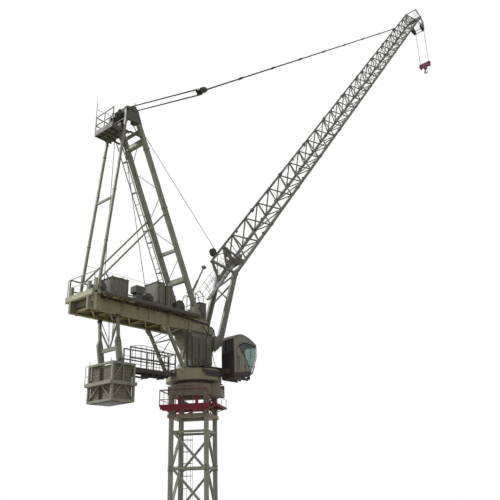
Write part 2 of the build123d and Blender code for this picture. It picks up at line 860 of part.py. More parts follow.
def sheave_head():
    """Cheek plates on the legs and stays, with the rope sheaves between them."""
    axle_z = leg_top + head_axle_over_top
    deflector_z = axle_z - deflector_below_axle
    top = axle_z + head_cheek_over_axle
    front = head_axle_x + head_cheek_front
    rear = deflector_x - head_cheek_rear
    shoulder = head_axle_x + head_cheek_front / 2
    outline = ((rear, head_low), (rear, deflector_z), (head_axle_x - head_cheek_flat, top),
               (head_axle_x + head_cheek_flat, top), (shoulder, axle_z), (front, head_low))
    reach = 2 * half - head_cheek
    pieces = [profile_plate(outline, y, head_cheek) for y in (-half, half)]
    pieces.append(disc(head_axle_x, 0, axle_z, head_axle_radius, reach))
    pieces.append(disc(deflector_x, 0, deflector_z, deflector_axle_radius, reach))
    pieces += [sheave(head_axle_x, y, axle_z, head_sheave_radius, head_sheave_width)
               for y in head_sheave_rows]
    pieces += [sheave(deflector_x, y, deflector_z, deflector_radius, head_sheave_width)
               for y in (-deflector_row, deflector_row)]
    tie = head_cheek_rear / 2
    inner = half - head_cheek / 2
    pieces.append(block(rear, rear + tie, -inner, inner, head_low, head_low + tie))
    for y in (-half, half):
        pieces.append(disc(head_axle_x, y, axle_z, 2 * head_axle_radius, head_cheek + plate))
    save("a_frame_head", fuse(pieces))


def head_deck():
    """Maintenance platform behind the sheave head, with its guard rail."""
    floor = leg_top - head_platform_below
    top = floor + deck_thickness
    x0 = stay_top_x - head_platform_rear
    x1 = x0 + head_platform_length
    y0, y1 = -half, half + head_platform_far
    pieces = [block(x0, x1, y0, y1, floor, top)]
    for y in (-half, half):
        pieces.append(block(x1, leg_x(floor), y - rail_tube, y + rail_tube, floor, top))
    platform = fuse(pieces)
    edge = rail_tube / 2
    line = [(x0 + edge, y0 + edge), (x0 + edge, (y0 + y1) / 2), (x0 + edge, y1 - edge),
            (x1 - edge, y1 - edge)]
    platform = fuse([platform] + guard_rail(line, top, rail_height, head_rail_tube))
    for y in (-half, half):
        platform = platform - a_stay(y) - a_leg(y)
    platform -= rod(*rope_ends(luffing_winch_x, luffing_winch_radius, -1), rope_opening * rope)
    save("head_platform", platform)


def knee_braces():
    """Raking braces from the counter-jib to the turntable's rear edge."""
    top = rz(turntable_height)
    bars = []
    for y in (-half, half):
        bar = member((knee_high_x, y, girder_low + knee_width), (knee_low_x, y, top - knee_width),
                     knee_width, knee_width, up=(1, 0, 0))
        shoe = Pos(knee_low_x, y, top + thin_plate / 2) * Box(2 * knee_width, knee_width, thin_plate)
        bar = bar & block(-far_out, far_out, -far_out, far_out, top, girder_low)
        bars.append(fuse([bar, shoe]))
    rest = block(tower_rear - knee_width, tower_rear, -half, half, 0, far_out)
    save("knee_braces", [bar - rest for bar in bars])

    rear = ballast_x + ballast_length / 2 + cage_belt_over + rear_walk_rear_gap
    front = -turntable_radius - turntable_flange_over - clearance
    low = rz(rear_walk_level)
    w = rear_walk_width / 2
    floor = [block(rear, front, -w, w, low, low + rear_walk_plate)]
    line = [(rear + rail_tube, w - rail_tube), ((rear + front) / 2, w - rail_tube),
            (front - rail_tube, w - rail_tube)]
    rails = guard_rail(line, low + rear_walk_plate, rail_height)
    rails += guard_rail([(x, -y) for x, y in line], low + rear_walk_plate, rail_height)
    save("rear_walkway", fuse(floor + rails))


def cab():
    """Operator's cab with its raised roof, raked front and slanted side windows."""
    middle = (cab_near + cab_far) / 2
    width = cab_far - cab_near
    outline = make_face(Plane.XZ * Polyline(*[(x, rz(z)) for x, z in cab_profile], close=True))

    def body(inset):
        """The cab's solid form, shrunk all round by an inset."""
        face = offset(outline, -inset) if inset else outline
        return Pos(0, middle, 0) * extrude(face, width / 2 - inset, both=True)

    full = body(0)
    sides = full.edges().filter_by(Axis.Y, reverse=True)
    roof = sides.filter_by(lambda edge: edge.center().Z > rz(cab_round_from))
    window = profile_plate([(x, rz(z)) for x, z in cab_window], middle, 2 * width)
    y0, y1, z0, z1 = cab_rear_window
    rear_window = block(cab_rear - cab_wall, cab_rear + 2 * cab_wall, y0, y1, rz(z0), rz(z1))
    rear_window = fillet(rear_window.edges().filter_by(Axis.X), cab_wall)
    shell = fillet(roof, cab_roof_round) - body(cab_wall) - window - rear_window
    save("cab_shell", shell)
    pane = body(pane_inset) - body(pane_inset + pane_thickness)
    save("cab_glazing", (pane & window).solids() + (pane & rear_window).solids())

    arm = block(cab_arm_rear, cab_arm_front, cab_arm_near, -tower_skirt_width / 2 - clearance,
                rz(cab_arm_low), rz(cab_arm_high))
    drum = Pos(0, 0, rz(turntable_height / 2)) * Cylinder(turntable_radius + turntable_flange_over,
                                                          turntable_height)
    save("cab_support", arm - drum - full)


def jib_place():
    """Where the jib's own frame sits on the upper works."""
    return Location((pivot_x, 0, rz(pivot_over_ring)), (0, -luff_at_rest, 0))


def on_jib(s, t):
    """A point of the jib's frame, as X and Z of the model."""
    a = radians(luff_at_rest)
    return (pivot_x + s * cos(a) - t * sin(a), rz(pivot_over_ring) + s * sin(a) + t * cos(a))


def jib():
    """Triangular lattice jib with its cranked foot."""
    place = jib_place()
    end = jib_frame_s + jib_bays * jib_bay
    top_t = chord_offset + jib_depth
    y = axis_of_jib
    chords = {"near": member((crank_s, -y, chord_offset), (end, -y, chord_offset), chord_size),
              "far": member((crank_s, y, chord_offset), (end, y, chord_offset), chord_size)}
    top = tube((top_chord_start, 0, top_t), (head_top_end, 0, top_t), top_chord_size)
    for name, chord in chords.items():
        save(f"jib_chord_{name}", chord, place)
    lug = profile_plate(((lug_s - lug_length, top_t), (lug_s + lug_length, top_t),
                         (lug_s + lug_length / 3, lug_t + lug_length / 3),
                         (lug_s - lug_length / 3, lug_t + lug_length / 3)), 0, lug_thickness)
    lug -= disc(lug_s, 0, lug_t, pin / 4, pin)
    save("jib_top_chord", fuse([top, lug]), place)

    height = hypot(y, jib_depth)
    for name, sign in (("near", -1), ("far", 1)):
        lines = []
        for k in range(jib_bays):
            s0 = jib_frame_s + k * jib_bay
            for a, b in ((s0, s0 + jib_bay / 2), (s0 + jib_bay, s0 + jib_bay / 2)):
                turn = degrees(atan2(height, b - a))
                lines.append(Pos((a + b) / 2, height / 2) * Rot(0, 0, turn) *
                             Rectangle(hypot(height, b - a), lacing_side))
        flat = Sketch() + lines
        plane = Plane(origin=(0, sign * y, chord_offset), x_dir=(1, 0, 0),
                      z_dir=Vector(1, 0, 0).cross(Vector(0, -sign * y, jib_depth)).normalized())
        web = extrude(plane * flat, lacing_side / 2, both=True)
        keep = block(jib_frame_s, end, thin_plate / 4, 2 * y, 0, 3 * jib_depth)
        keep = keep if sign > 0 else mirrored(keep)
        web = (web & keep) - chords[name] - top
        save(f"jib_side_{name}", [bar for bar in web.solids() if bar.volume > lacing_side ** 3], place)

    lines = []
    clear = chord_spacing - chord_size
    for k in range(jib_bays + 1):
        lines.append(Pos(jib_frame_s + k * jib_bay, 0) * Rectangle(lacing_bottom, clear))
    for k in range(jib_bays):
        s0 = jib_frame_s + k * jib_bay
        turn = degrees(atan2(chord_spacing, jib_bay)) * (1 if k % 2 else -1)
        lines.append(Pos(s0 + jib_bay / 2, 0) * Rot(0, 0, turn) *
                     Rectangle(hypot(chord_spacing, jib_bay), lacing_bottom))
    flat = (Sketch() + lines) & (Pos((jib_frame_s + end) / 2, 0) * Rectangle(end - jib_frame_s, clear))
    save("jib_bottom_lattice", Pos(0, 0, chord_offset) * extrude(flat, lacing_bottom / 2, both=True), place)
    jib_foot(place, chords, top, top_t)
    jib_nose(place, end, top_t)


def jib_foot(place, chords, top, top_t):
    """Cranked tapered legs, the triangular frame above them and the bearing brackets."""
    y = axis_of_jib
    rise = atan2(chord_offset, crank_s)
    low, high = foot_leg_low / 2, foot_leg_high / 2
    across = Vector(-sin(rise), 0, cos(rise))
    top_end = Vector(crank_s, 0, chord_offset)
    corners = [across * low, top_end + across * high, top_end - across * high, across * -low]
    legs = []
    for sign in (-1, 1):
        outline = [(corner.X, corner.Z) for corner in corners]
        leg = profile_plate(outline, sign * y, foot_leg_thickness)
        leg = fuse([leg, disc(0, sign * y, 0, foot_boss / 2, foot_leg_thickness)])
        leg -= disc(0, sign * y, 0, pin / 2, 2 * foot_leg_thickness)
        leg -= disc(foot_leg_hole_s, sign * y, foot_leg_hole_t, foot_leg_hole / 2, 2 * foot_leg_thickness)
        legs.append(leg & block(-far_out, crank_s, -far_out, far_out, -far_out, far_out))
    save("jib_foot_legs", legs, place)

    frame = []
    back = jib_frame_s - foot_frame_back
    bar, brace = foot_frame_bar, foot_frame_brace
    frame.append(Pos(back, 0, chord_offset) * Box(bar, 2 * y, bar))
    middle = (chord_offset + top_t) / 2
    frame.append(profile_plate(((back - foot_post_narrow / 2, top_t), (back + foot_post_narrow / 2, top_t),
                                (back + foot_post / 2, middle), (back + foot_post_narrow / 2, chord_offset),
                                (back - foot_post_narrow / 2, chord_offset),
                                (back - foot_post / 2, middle)), 0, foot_post_thickness))
    for sign in (-1, 1):
        frame.append(member((back, sign * y, chord_offset), (back, 0, top_t), foot_cross_bar,
                            foot_cross_bar, up=(1, 0, 0)))
        frame.append(member((crank_s + brace, sign * y, chord_offset), (top_chord_start + brace, 0, top_t),
                            brace, brace, up=(1, 0, 0)))
    axle_t = top_t + top_chord_size / 2 + foot_sheave_lift
    side = block_sheave_width
    frame.append(sheave(foot_sheave_s, 0, axle_t, foot_sheave_radius, block_sheave_width))
    frame.append(disc(foot_sheave_s, 0, axle_t, pin / 4, 2 * side + plate))
    for s in (-1, 1):
        frame.append(profile_plate(((foot_sheave_s - foot_sheave_radius, top_t),
                                    (foot_sheave_s + foot_sheave_radius, top_t),
                                    (foot_sheave_s + pin / 2, axle_t + pin / 2),
                                    (foot_sheave_s - pin / 2, axle_t + pin / 2)), s * side, thin_plate))
    saddle = top_t + top_chord_size / 2 + thin_plate / 2
    broad = side + thin_plate / 2
    frame.append(block(foot_sheave_s - pin, foot_sheave_s + pin, -broad, broad, top_t, saddle))
    frame = fuse(frame) - chords["near"] - chords["far"] - top
    inner = y - foot_leg_thickness / 2
    ties = []
    for sign in (-1, 1):
        ties.append(member((foot_tie_high * crank_s, -sign * inner, foot_tie_high * chord_offset),
                           (foot_tie_low * crank_s, sign * inner, foot_tie_low * chord_offset), foot_tie))
    cross = fuse(ties) - fuse(legs)
    save("jib_foot_frame", [solid for solid in frame.solids() if solid.volume > bar ** 3 / 4], place)
    save("jib_foot_ties", [solid for solid in cross.solids() if solid.volume > bar ** 3 / 4], place)

    low, wide = chord_offset + foot_walk_lift, foot_walk_width / 2
    walk = [block(foot_walk_start, back - bar / 2, -wide, wide, low, low + foot_walk_depth)]
    for sign in (-1, 1):
        walk.append(member((foot_walk_hold, 0, low + foot_walk_depth / 2),
                           (crank_s - brace, sign * inner, chord_offset), foot_tie, foot_tie, up=(0, 0, 1)))
    walk.append(block(back - bar, back - bar / 2, -wide, wide, chord_offset - bar / 2,
                      low + foot_walk_depth))
    save("jib_foot_walkway", fuse(walk) - fuse(legs) - frame, place)

    brackets = []
    pz = rz(pivot_over_ring)
    offset_y = foot_leg_thickness / 2 + jib_bracket_gap + jib_bracket_plate / 2
    for sign in (-1, 1):
        for side in (-1, 1):
            at = sign * y + side * offset_y
            shape = profile_plate(((tower_front, rz(jib_bracket_low)), (tower_front, girder_low),
                                   (pivot_x, pz + jib_bracket_round), (pivot_x, pz - jib_bracket_round)),
                                  at, jib_bracket_plate)
            ear = disc(pivot_x, at, pz, jib_bracket_round, jib_bracket_plate)
            brackets.append(fuse([shape, ear]))
        shaft = offset_y + jib_bracket_plate
        brackets.append(disc(pivot_x, sign * y, pz, pin / 2 - 1, 2 * shaft))
        saddle = block(girder_front, tower_front, sign * y - offset_y - jib_bracket_plate / 2,
                       sign * y + offset_y + jib_bracket_plate / 2, girder_low, girder_low + plate)
        fin = profile_plate(((girder_front, girder_low), (tower_front, girder_low),
                             (tower_front, girder_low + jib_bracket_fin),
                             (girder_front, girder_top - girder_depth / 2)),
                            sign * y, 2 * offset_y + jib_bracket_plate)
        slot = profile_plate(((girder_front - plate, girder_low + plate), (pivot_x, girder_low + plate),
                              (pivot_x, girder_top), (girder_front - plate, girder_top)), sign * y,
                             2 * offset_y - jib_bracket_plate)
        brackets += [saddle, fin - slot]
    save("jib_pivot_brackets", fuse(brackets))


def jib_nose(place, end, top_t):
    """Head frame: chord ends, sheave cheeks, front posts, platform and rail."""
    y = axis_of_jib
    pieces = []
    for sign in (-1, 1):
        side = sign * y
        pieces.append(member((end, side, chord_offset), (head_chord_end, side, chord_offset), chord_size))
        cheek = profile_plate(((head_frame_s, chord_offset - chord_size / 4),
                               (head_chord_end, chord_offset - chord_size / 4),
                               (head_chord_end - head_bar / 2, jib_sheave_t + head_cheek_size),
                               (jib_sheave_s + head_cheek_size / 2, jib_sheave_t - head_cheek_size / 2),
                               (jib_sheave_s - head_cheek_size / 2, jib_sheave_t - head_cheek_size / 2)),
                              side, plate)
        opening = profile_plate(((head_frame_s + 2 * head_bar, chord_offset - chord_size),
                                 (head_chord_end - 2 * head_bar, chord_offset - chord_size),
                                 (jib_sheave_s + head_bar / 2, jib_sheave_t + head_cheek_size),
                                 (jib_sheave_s - head_bar / 2, jib_sheave_t + head_cheek_size)),
                                side, 2 * plate)
        pieces.append(cheek - opening)
        pieces.append(member((head_chord_end - head_post, side, chord_offset),
                             (head_post_top_s, side, head_post_top_t), head_post))
        pieces.append(member((head_frame_s, side, chord_offset), (head_top_end - head_bar, 0, top_t),
                             head_post, head_post, up=(1, 0, 0)))
        pieces.append(member((end + head_bar, side, chord_offset), (head_top_end - head_bar, 0, top_t),
                             head_post, head_post, up=(1, 0, 0)))
    for s in (head_frame_s, head_chord_end - head_bar / 2):
        pieces.append(block(s - head_bar / 2, s + head_bar / 2, -y, y, chord_offset - head_bar / 2,
                            chord_offset + head_bar / 2))
    pieces.append(block(head_frame_s, head_chord_end, -y, y, chord_offset + chord_size / 2,
                        chord_offset + chord_size / 2 + head_floor))
    pieces.append(member((head_post_top_s, -y - head_post / 2, head_post_top_t),
                         (head_post_top_s, y + head_post / 2, head_post_top_t), head_post))
    pieces.append(disc(jib_sheave_s, 0, jib_sheave_t, jib_axle / 2, 2 * y))
    nose = fuse(pieces) - tube((0, 0, top_t), (head_top_end, 0, top_t), top_chord_size)
    save("jib_head", nose, place)
    wheels = []
    hx, hz = on_jib(jib_sheave_s, jib_sheave_t)
    for sign in (-1, 1):
        at = sign * hook_rope_spacing / 2
        wheels.append(sheave(hx, at, hz, jib_sheave_radius, head_sheave_width) -
                      disc(hx, at, hz, jib_axle / 2 + 1, 2 * head_sheave_width))
    save("jib_head_sheaves", wheels)


def pendant_line():
    """Pendant bars from the jib's lug to the flying block, and the rope falls to the head."""
    lx, lz = on_jib(lug_s, lug_t)
    hx, hz = head_aim_x, leg_top + head_aim_over_top
    length = hypot(hx - lx, hz - lz)
    pendant_length = length - falls_length
    place = Location((lx, 0, lz), (0, -degrees(atan2(hz - lz, hx - lx)), 0))
    bars_end = pendant_length - pendant_end
    bars = []
    for sign in (-1, 1):
        bars.append(block(0, bars_end, sign * pendant_spread - pendant_bar / 4,
                          sign * pendant_spread + pendant_bar / 4, -pendant_bar / 2, pendant_bar / 2))
    step = bars_end / pendant_links
    for i in range(1, pendant_links + 1):
        bars.append(disc(i * step, 0, 0, pendant_joint / 2, 3 * pendant_spread))
        bars.append(block(i * step - pendant_joint, i * step, -pendant_spread, pendant_spread,
                          -pendant_bar / 4, pendant_bar / 4))
    bars.append(disc(0, 0, 0, pin / 4 - 1, 3 * pendant_spread))
    save("pendant_bars", fuse(bars), place)

    plates = []
    for s in (-1, 1):
        shape = profile_plate(((pendant_length - block_plate_length / 2, -block_plate_height / 4),
                               (pendant_length - block_plate_length / 4, -block_plate_height / 2),
                               (pendant_length + block_plate_length / 2, -block_plate_height / 2),
                               (pendant_length + block_plate_length / 2, block_plate_height / 2),
                               (pendant_length - block_plate_length / 4, block_plate_height / 2),
                               (pendant_length - block_plate_length / 2, block_plate_height / 4)),
                              s * block_plate_at, block_plate)
        plates.append(shape)
    yoke = block(bars_end + pendant_joint / 2 + clearance, bars_end + pendant_joint, -block_plate_at,
                 block_plate_at, -pendant_joint, pendant_joint)
    ear = 2 * pendant_spread
    for side in (-ear, ear):
        plates.append(block(bars_end - pendant_joint, bars_end + pendant_joint, side - thin_plate / 2,
                            side + thin_plate / 2, -pendant_joint, pendant_joint))
    carriage = fuse(plates + [yoke]) - disc(pendant_length, 0, 0, block_sheave_radius / 4, far_out)
    carriage -= disc(bars_end, 0, 0, pendant_joint / 2 + 1 / 2, far_out)
    inside = 2 * block_plate_at - block_plate - 1
    carriage -= disc(pendant_length, 0, 0, block_sheave_radius + clearance, inside)
    save("flying_block", carriage, place)
    wheels = [sheave(pendant_length, s * block_sheave_at, 0, block_sheave_radius, block_sheave_width)
              for s in (-1, 1)]
    wheels.append(disc(pendant_length, 0, 0, block_sheave_radius / 4 - 1, 2 * block_plate_at + block_plate))
    save("flying_block_sheaves", fuse(wheels), place)
    falls = []
    start = pendant_length + block_plate_length / 2
    ends = ((block_sheave_radius, length + falls_past_head, falls_high_at_head),
            (-block_sheave_radius, length - falls_short_of_head, falls_low_at_head))
    for sy in (-block_sheave_at, block_sheave_at):
        for height, finish, at_head in ends:
            falls.append(rod((start, sy, height), (finish, sy * falls_at_head, at_head), 2 * rope, 6))
    save("luffing_rope_falls", falls, place)


def rope_ends(x, radius, side):
    """Ends of the rope from a winch drum's front to its deflector sheave in the head."""
    low = (x + drum_share * radius + rope, side * deflector_row, deck + radius + winch_lift)
    reach = side * (deflector_radius + rope)
    high = leg_top + head_axle_over_top - deflector_below_axle
    return low, (deflector_x + reach, side * deflector_row, high)


def ropes():
    """Hoist rope from the winch to the head, and the luffing rope to its winch."""
    save("winch_ropes", [rod(*rope_ends(hoist_winch_x, hoist_winch_radius, 1), rope, 6),
                         rod(*rope_ends(luffing_winch_x, luffing_winch_radius, -1), rope, 6)])


def hook():
    """Two-fall hoist rope, hook block and hook, hanging plumb."""
    hx, hz = on_jib(jib_sheave_s, jib_sheave_t)
    front = hx + jib_sheave_radius + rope / 2 + 1
    low = hz - hook_drop
    row = hook_rope_spacing / 2
    save("hoist_rope_falls", [rod((front, s * row, low), (front, s * row, hz), rope, 6) for s in (-1, 1)])
    w, h, side = block_half_width, block_height, block_side_height
    outline = ((-w, 0), (w, 0), (w, -side), (w / 3, -h + side), (side, -h), (-side, -h),
               (-w / 3, -h + side), (-w, -side))
    shell = extrude(make_face(Plane.YZ * Polyline(*outline, close=True)), block_thickness / 2, both=True)
    rim = shell.edges().filter_by(Axis.Z, reverse=True).filter_by(Axis.X, reverse=True)
    shell = chamfer(rim, thin_plate)
    save("hook_block", Pos(front, 0, low) * shell)
    eye = low - block_height - hook_gap - hook_shank - hook_bend
    shank = Pos(0, 0, hook_bend + hook_shank / 2) * Cylinder(hook_wire / 2, hook_shank)
    start = Plane.XZ * Pos(0, hook_bend) * Circle(hook_wire / 2)
    bend = revolve(start, Axis((0, 0, 0), (-1, 0, 0)), hook_turn)
    turn = radians(hook_turn)
    tip = Pos(0, hook_bend * sin(turn), hook_bend * cos(turn)) * Sphere(hook_wire / 2)
    nut = Pos(0, 0, hook_bend + hook_shank - plate / 2) * Cylinder(hook_wire, plate)
    save("hook", Pos(front, 0, eye) * fuse([shank, bend, tip, nut]))


def ballast():
    """Slab counterweight in its braced cage, hung under the counter-jib."""
    top = rz(ballast_top_over_ring)
    low = top - ballast_height
    x0, x1 = ballast_x - ballast_length / 2, ballast_x + ballast_length / 2
    hangers = []
    b, w = hanger_bar / 2, hanger_plate_width / 2
    cross_low = rz(hanger_cross) - hanger_cross_depth / 2
    plate_top, mid = rz(hanger_plate_top), rz(hanger_plate_mid)
    cross_x = hanger_foot_x + (hanger_mid_x - hanger_foot_x) * (rz(hanger_cross) - top) / (mid - top)
    for y in (-half, half):
        hangers.append(profile_plate(((hanger_top_x - b, girder_low), (hanger_top_x + b, girder_low),
                                      (hanger_mid_x + b, plate_top), (hanger_mid_x + w, mid),
                                      (hanger_foot_x + w, top), (hanger_foot_x - w, top),
                                      (hanger_mid_x - w, mid), (hanger_mid_x - b, plate_top)), y, hanger_bar))
        hangers.append(member((hanger_top_x, y, rz(hanger_brace_high)), (cross_x, 0, rz(hanger_cross)),
                              hanger_brace, hanger_brace, up=(1, 0, 0)))
    hangers.append(block(cross_x - b, cross_x + b, -half, half, cross_low, cross_low + hanger_cross_depth))
    save("ballast_hangers", fuse(hangers))

    w = ballast_width / 2
    b = cage_bar
    belt = top - cage_belt_share * ballast_height
    cage = []
    for x in (x0, x1):
        for y in (-w, w):
            cage.append(block(x - b / 2, x + b / 2, y - b / 2, y + b / 2, low, top))
    for z in (top - b / 2, low + b / 2):
        for y in (-w, w):
            cage.append(block(x0, x1, y - b / 2, y + b / 2, z - b / 2, z + b / 2))
        for x in (x0, x1):
            cage.append(block(x - b / 2, x + b / 2, -w, w, z - b / 2, z + b / 2))
    outer = block(x0 - cage_belt_rear, x1 + cage_belt_over, -w - cage_belt_over, w + cage_belt_over,
                  belt - cage_belt_depth, belt)
    cage.append(outer - block(x0, x1, -w, w, low, top))
    for y in (-half, half):
        cage.append(block(x0, x1, y - hanger_bar / 2, y + hanger_bar / 2, top - b, top))
    under = belt - cage_belt_depth
    flat = b / 2
    for y in (-w, w):
        for sign in (-1, 1):
            foot = (ballast_x + sign * ballast_length / 2, y, low + b)
            cage.append(member(foot, (ballast_x + sign * b, y, under), flat, flat, up=(0, 1, 0)))
        cage.append(member((x0, y, belt), (ballast_x, y, top), flat, flat, up=(0, 1, 0)))
        cage.append(Pos(ballast_x, y, (belt + top) / 2) * Box(flat, flat, top - belt))
    for x in (x0, x1):
        for sign in (-1, 1):
            cage.append(member((x, sign * w, low + b), (x, sign * b, under), flat, flat, up=(1, 0, 0)))
    save("ballast_cage", fuse(cage))

    inner_x, inner_y = ballast_length / 2 - b / 2 - slab_gap, w - b / 2 - slab_gap
    floor, roof = low + b, top - b - slab_gap
    pitch = (roof - floor) / ballast_slabs
    slabs = []
    for i in range(ballast_slabs):
        slab = block(ballast_x - inner_x, ballast_x + inner_x, -inner_y, inner_y, floor + i * pitch,
                     floor + (i + 1) * pitch - slab_joint)
        slabs.append(chamfer(slab.edges().filter_by(Axis.Z), slab_gap))
    save("ballast_slabs", slabs)


os.makedirs("parts", exist_ok=True)
mast()
mast_head()
turntable()
counter_jib()
a_frame()
knee_braces()
cab()
jib()
pendant_line()
ropes()
hook()
ballast()
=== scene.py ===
# %% [markdown]
# The imported crane is loaded first, and every piece made here goes where the frame says.
# The box of the frame is kept.

# %% Load the frame
import math
import bpy
from mathutils import Matrix, Vector


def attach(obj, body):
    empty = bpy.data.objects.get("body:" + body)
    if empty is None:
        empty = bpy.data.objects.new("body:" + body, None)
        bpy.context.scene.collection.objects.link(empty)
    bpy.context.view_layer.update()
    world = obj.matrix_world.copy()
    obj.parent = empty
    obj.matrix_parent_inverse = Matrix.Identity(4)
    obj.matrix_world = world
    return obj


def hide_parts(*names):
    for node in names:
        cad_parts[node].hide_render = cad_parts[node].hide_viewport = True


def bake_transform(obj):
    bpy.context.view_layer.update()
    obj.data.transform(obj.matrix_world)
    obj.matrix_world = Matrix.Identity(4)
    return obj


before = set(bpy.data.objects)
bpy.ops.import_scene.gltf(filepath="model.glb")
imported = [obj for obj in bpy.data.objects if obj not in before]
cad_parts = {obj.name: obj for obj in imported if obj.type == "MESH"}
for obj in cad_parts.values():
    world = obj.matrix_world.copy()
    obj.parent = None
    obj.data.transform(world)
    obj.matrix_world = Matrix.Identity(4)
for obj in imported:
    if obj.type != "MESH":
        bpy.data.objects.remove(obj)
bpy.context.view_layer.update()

# %% [markdown]
# The picture was taken from below and behind, on the cab side. The camera stands 16 m from the
# mast's axis and looks up by 21 degrees. Its three directions are written as turns: heading,
# pitch and a small roll.

# %% Camera
ring_height = 6.580
camera_place = Vector((-11.2835, -11.7280, ring_height - 2.5838))
heading = math.radians(40.59)
pitch = math.radians(21.10)
roll = math.radians(-1.71)
focal_pixels = 617.6
picture_pixels = 500

ahead = Vector((math.cos(heading), math.sin(heading), 0))
right = Vector((math.sin(heading), -math.cos(heading), 0))
up = Vector((0, 0, 1))
look = ahead * math.cos(pitch) + up * math.sin(pitch)
rise = up * math.cos(pitch) - ahead * math.sin(pitch)
right_rolled = right * math.cos(roll) + rise * math.sin(roll)
rise_rolled = rise * math.cos(roll) - right * math.sin(roll)

bpy.ops.object.camera_add(location=camera_place)
camera = bpy.context.object
camera.name = "camera"
turn = Matrix((right_rolled, rise_rolled, -look)).transposed()
camera.matrix_world = Matrix.Translation(camera_place) @ turn.to_4x4()
camera.data.sensor_width = 36
camera.data.lens = 36 * focal_pixels / picture_pixels
camera.data.clip_end = 1000
bpy.context.scene.camera = camera
print("camera stands at", tuple(round(value, 2) for value in camera_place))

# %% [markdown]
# The studio is a large pale floor and an even sky, with one soft sun that comes from behind the
# crane on its left, as in the picture. What the camera sees past the crane is white. Gloss and
# glass see the same white. The floor is pale for the camera too, but it throws little light back
# up, because the ground round a real crane is dark and its undersides are deep in shade.

# %% Sky and sun
scene = bpy.context.scene
scene.view_settings.view_transform = "Standard"

world = bpy.data.worlds.new("studio")
scene.world = world
world.use_nodes = True
world_nodes = world.node_tree.nodes
world_links = world.node_tree.links
world_nodes.clear()
sky = world_nodes.new("ShaderNodeBackground")
sky.inputs["Color"].default_value = (0.93, 0.96, 1.0, 1)
sky.inputs["Strength"].default_value = 0.50
white_sky = world_nodes.new("ShaderNodeBackground")
white_sky.inputs["Color"].default_value = (1, 1, 1, 1)
white_sky.inputs["Strength"].default_value = 1.0
path = world_nodes.new("ShaderNodeLightPath")
either = world_nodes.new("ShaderNodeMath")
either.operation = "MAXIMUM"
mix_sky = world_nodes.new("ShaderNodeMixShader")
world_output = world_nodes.new("ShaderNodeOutputWorld")
world_links.new(path.outputs["Is Camera Ray"], either.inputs[0])
world_links.new(path.outputs["Is Transmission Ray"], either.inputs[1])
world_links.new(either.outputs[0], mix_sky.inputs[0])
world_links.new(sky.outputs[0], mix_sky.inputs[1])
world_links.new(white_sky.outputs[0], mix_sky.inputs[2])
world_links.new(mix_sky.outputs[0], world_output.inputs["Surface"])

sun_from = Vector((-0.42, 0.66, 0.62))
bpy.ops.object.light_add(type="SUN")
sun = bpy.context.object
sun.name = "sun"
sun.rotation_euler = sun_from.to_track_quat("Z", "Y").to_euler()
sun.data.energy = 2.5
sun.data.angle = math.radians(8)
print("sun comes from", tuple(sun_from))

# %% [markdown]
# Colours are written as a painter would read them off, from 0 to 255. The shader wants linear
# light, so this small helper turns one into the other.

# %% Colour helper
def tone(red, green, blue):
    """A colour written in 0 to 255, as linear light with full cover."""
    parts = []
    for part in (red, green, blue):
        share = part / 255
        parts.append(share / 12.92 if share <= 0.04045 else ((share + 0.055) / 1.055) ** 2.4)
    return (*parts, 1)

# %% Floor
floor_radius, floor_drop = 60, 0.002
bpy.ops.mesh.primitive_circle_add(vertices=96, radius=floor_radius, fill_type="NGON",
                                  location=(0, 0, -floor_drop))
floor = bpy.context.object
floor.name = "studio_floor"
floor_finish = bpy.data.materials.new("studio_floor")
floor_finish.use_nodes = True
floor_nodes = floor_finish.node_tree.nodes
floor_links = floor_finish.node_tree.links
pale = floor_nodes["Principled BSDF"]
pale.inputs["Roughness"].default_value = 0.8
seen = floor_nodes.new("ShaderNodeLightPath")
seen_or_mirrored = floor_nodes.new("ShaderNodeMath")
seen_or_mirrored.operation = "MAXIMUM"
floor_links.new(seen.outputs["Is Camera Ray"], seen_or_mirrored.inputs[0])
floor_links.new(seen.outputs["Is Glossy Ray"], seen_or_mirrored.inputs[1])
floor_tone = floor_nodes.new("ShaderNodeMix")
floor_tone.data_type = "RGBA"
floor_links.new(seen_or_mirrored.outputs[0], floor_tone.inputs["Factor"])
dark_ground, pale_ground = [socket for socket in floor_tone.inputs if socket.type == "RGBA"]
dark_ground.default_value = tone(150, 138, 104)
pale_ground.default_value = tone(232, 231, 228)
floor_colour = [socket for socket in floor_tone.outputs if socket.type == "RGBA"][0]
floor_links.new(floor_colour, pale.inputs["Base Color"])
floor.data.materials.append(floor_finish)
print("floor is", floor.dimensions[0], "m across")

# %% [markdown]
# Outdoor paint on such a crane is never one colour. It has cloudy fading, stains that run
# down, and small chips. Each finish is a set of noise patterns in Object coordinates: a broad
# one for the clouds, one that is drawn out along Z for the runs, and a fine one for chips and
# for the small bumps of brushed paint.

# %% Weathered paint
def ramp_between(nodes, links, value, low, high):
    """A ramp from black at low to white at high."""
    ramp = nodes.new("ShaderNodeMapRange")
    ramp.inputs["From Min"].default_value = low
    ramp.inputs["From Max"].default_value = high
    links.new(value, ramp.inputs["Value"])
    return ramp.outputs["Result"]


def noise_on(nodes, links, coordinates, scale, detail, stretch=(1, 1, 1)):
    """Noise on Object coordinates, drawn out where stretch is small."""
    mapping = nodes.new("ShaderNodeMapping")
    mapping.inputs["Scale"].default_value = stretch
    noise = nodes.new("ShaderNodeTexNoise")
    noise.inputs["Scale"].default_value = scale
    noise.inputs["Detail"].default_value = detail
    noise.inputs["Roughness"].default_value = 0.6
    links.new(coordinates, mapping.inputs["Vector"])
    links.new(mapping.outputs[0], noise.inputs["Vector"])
    return noise.outputs["Fac"]


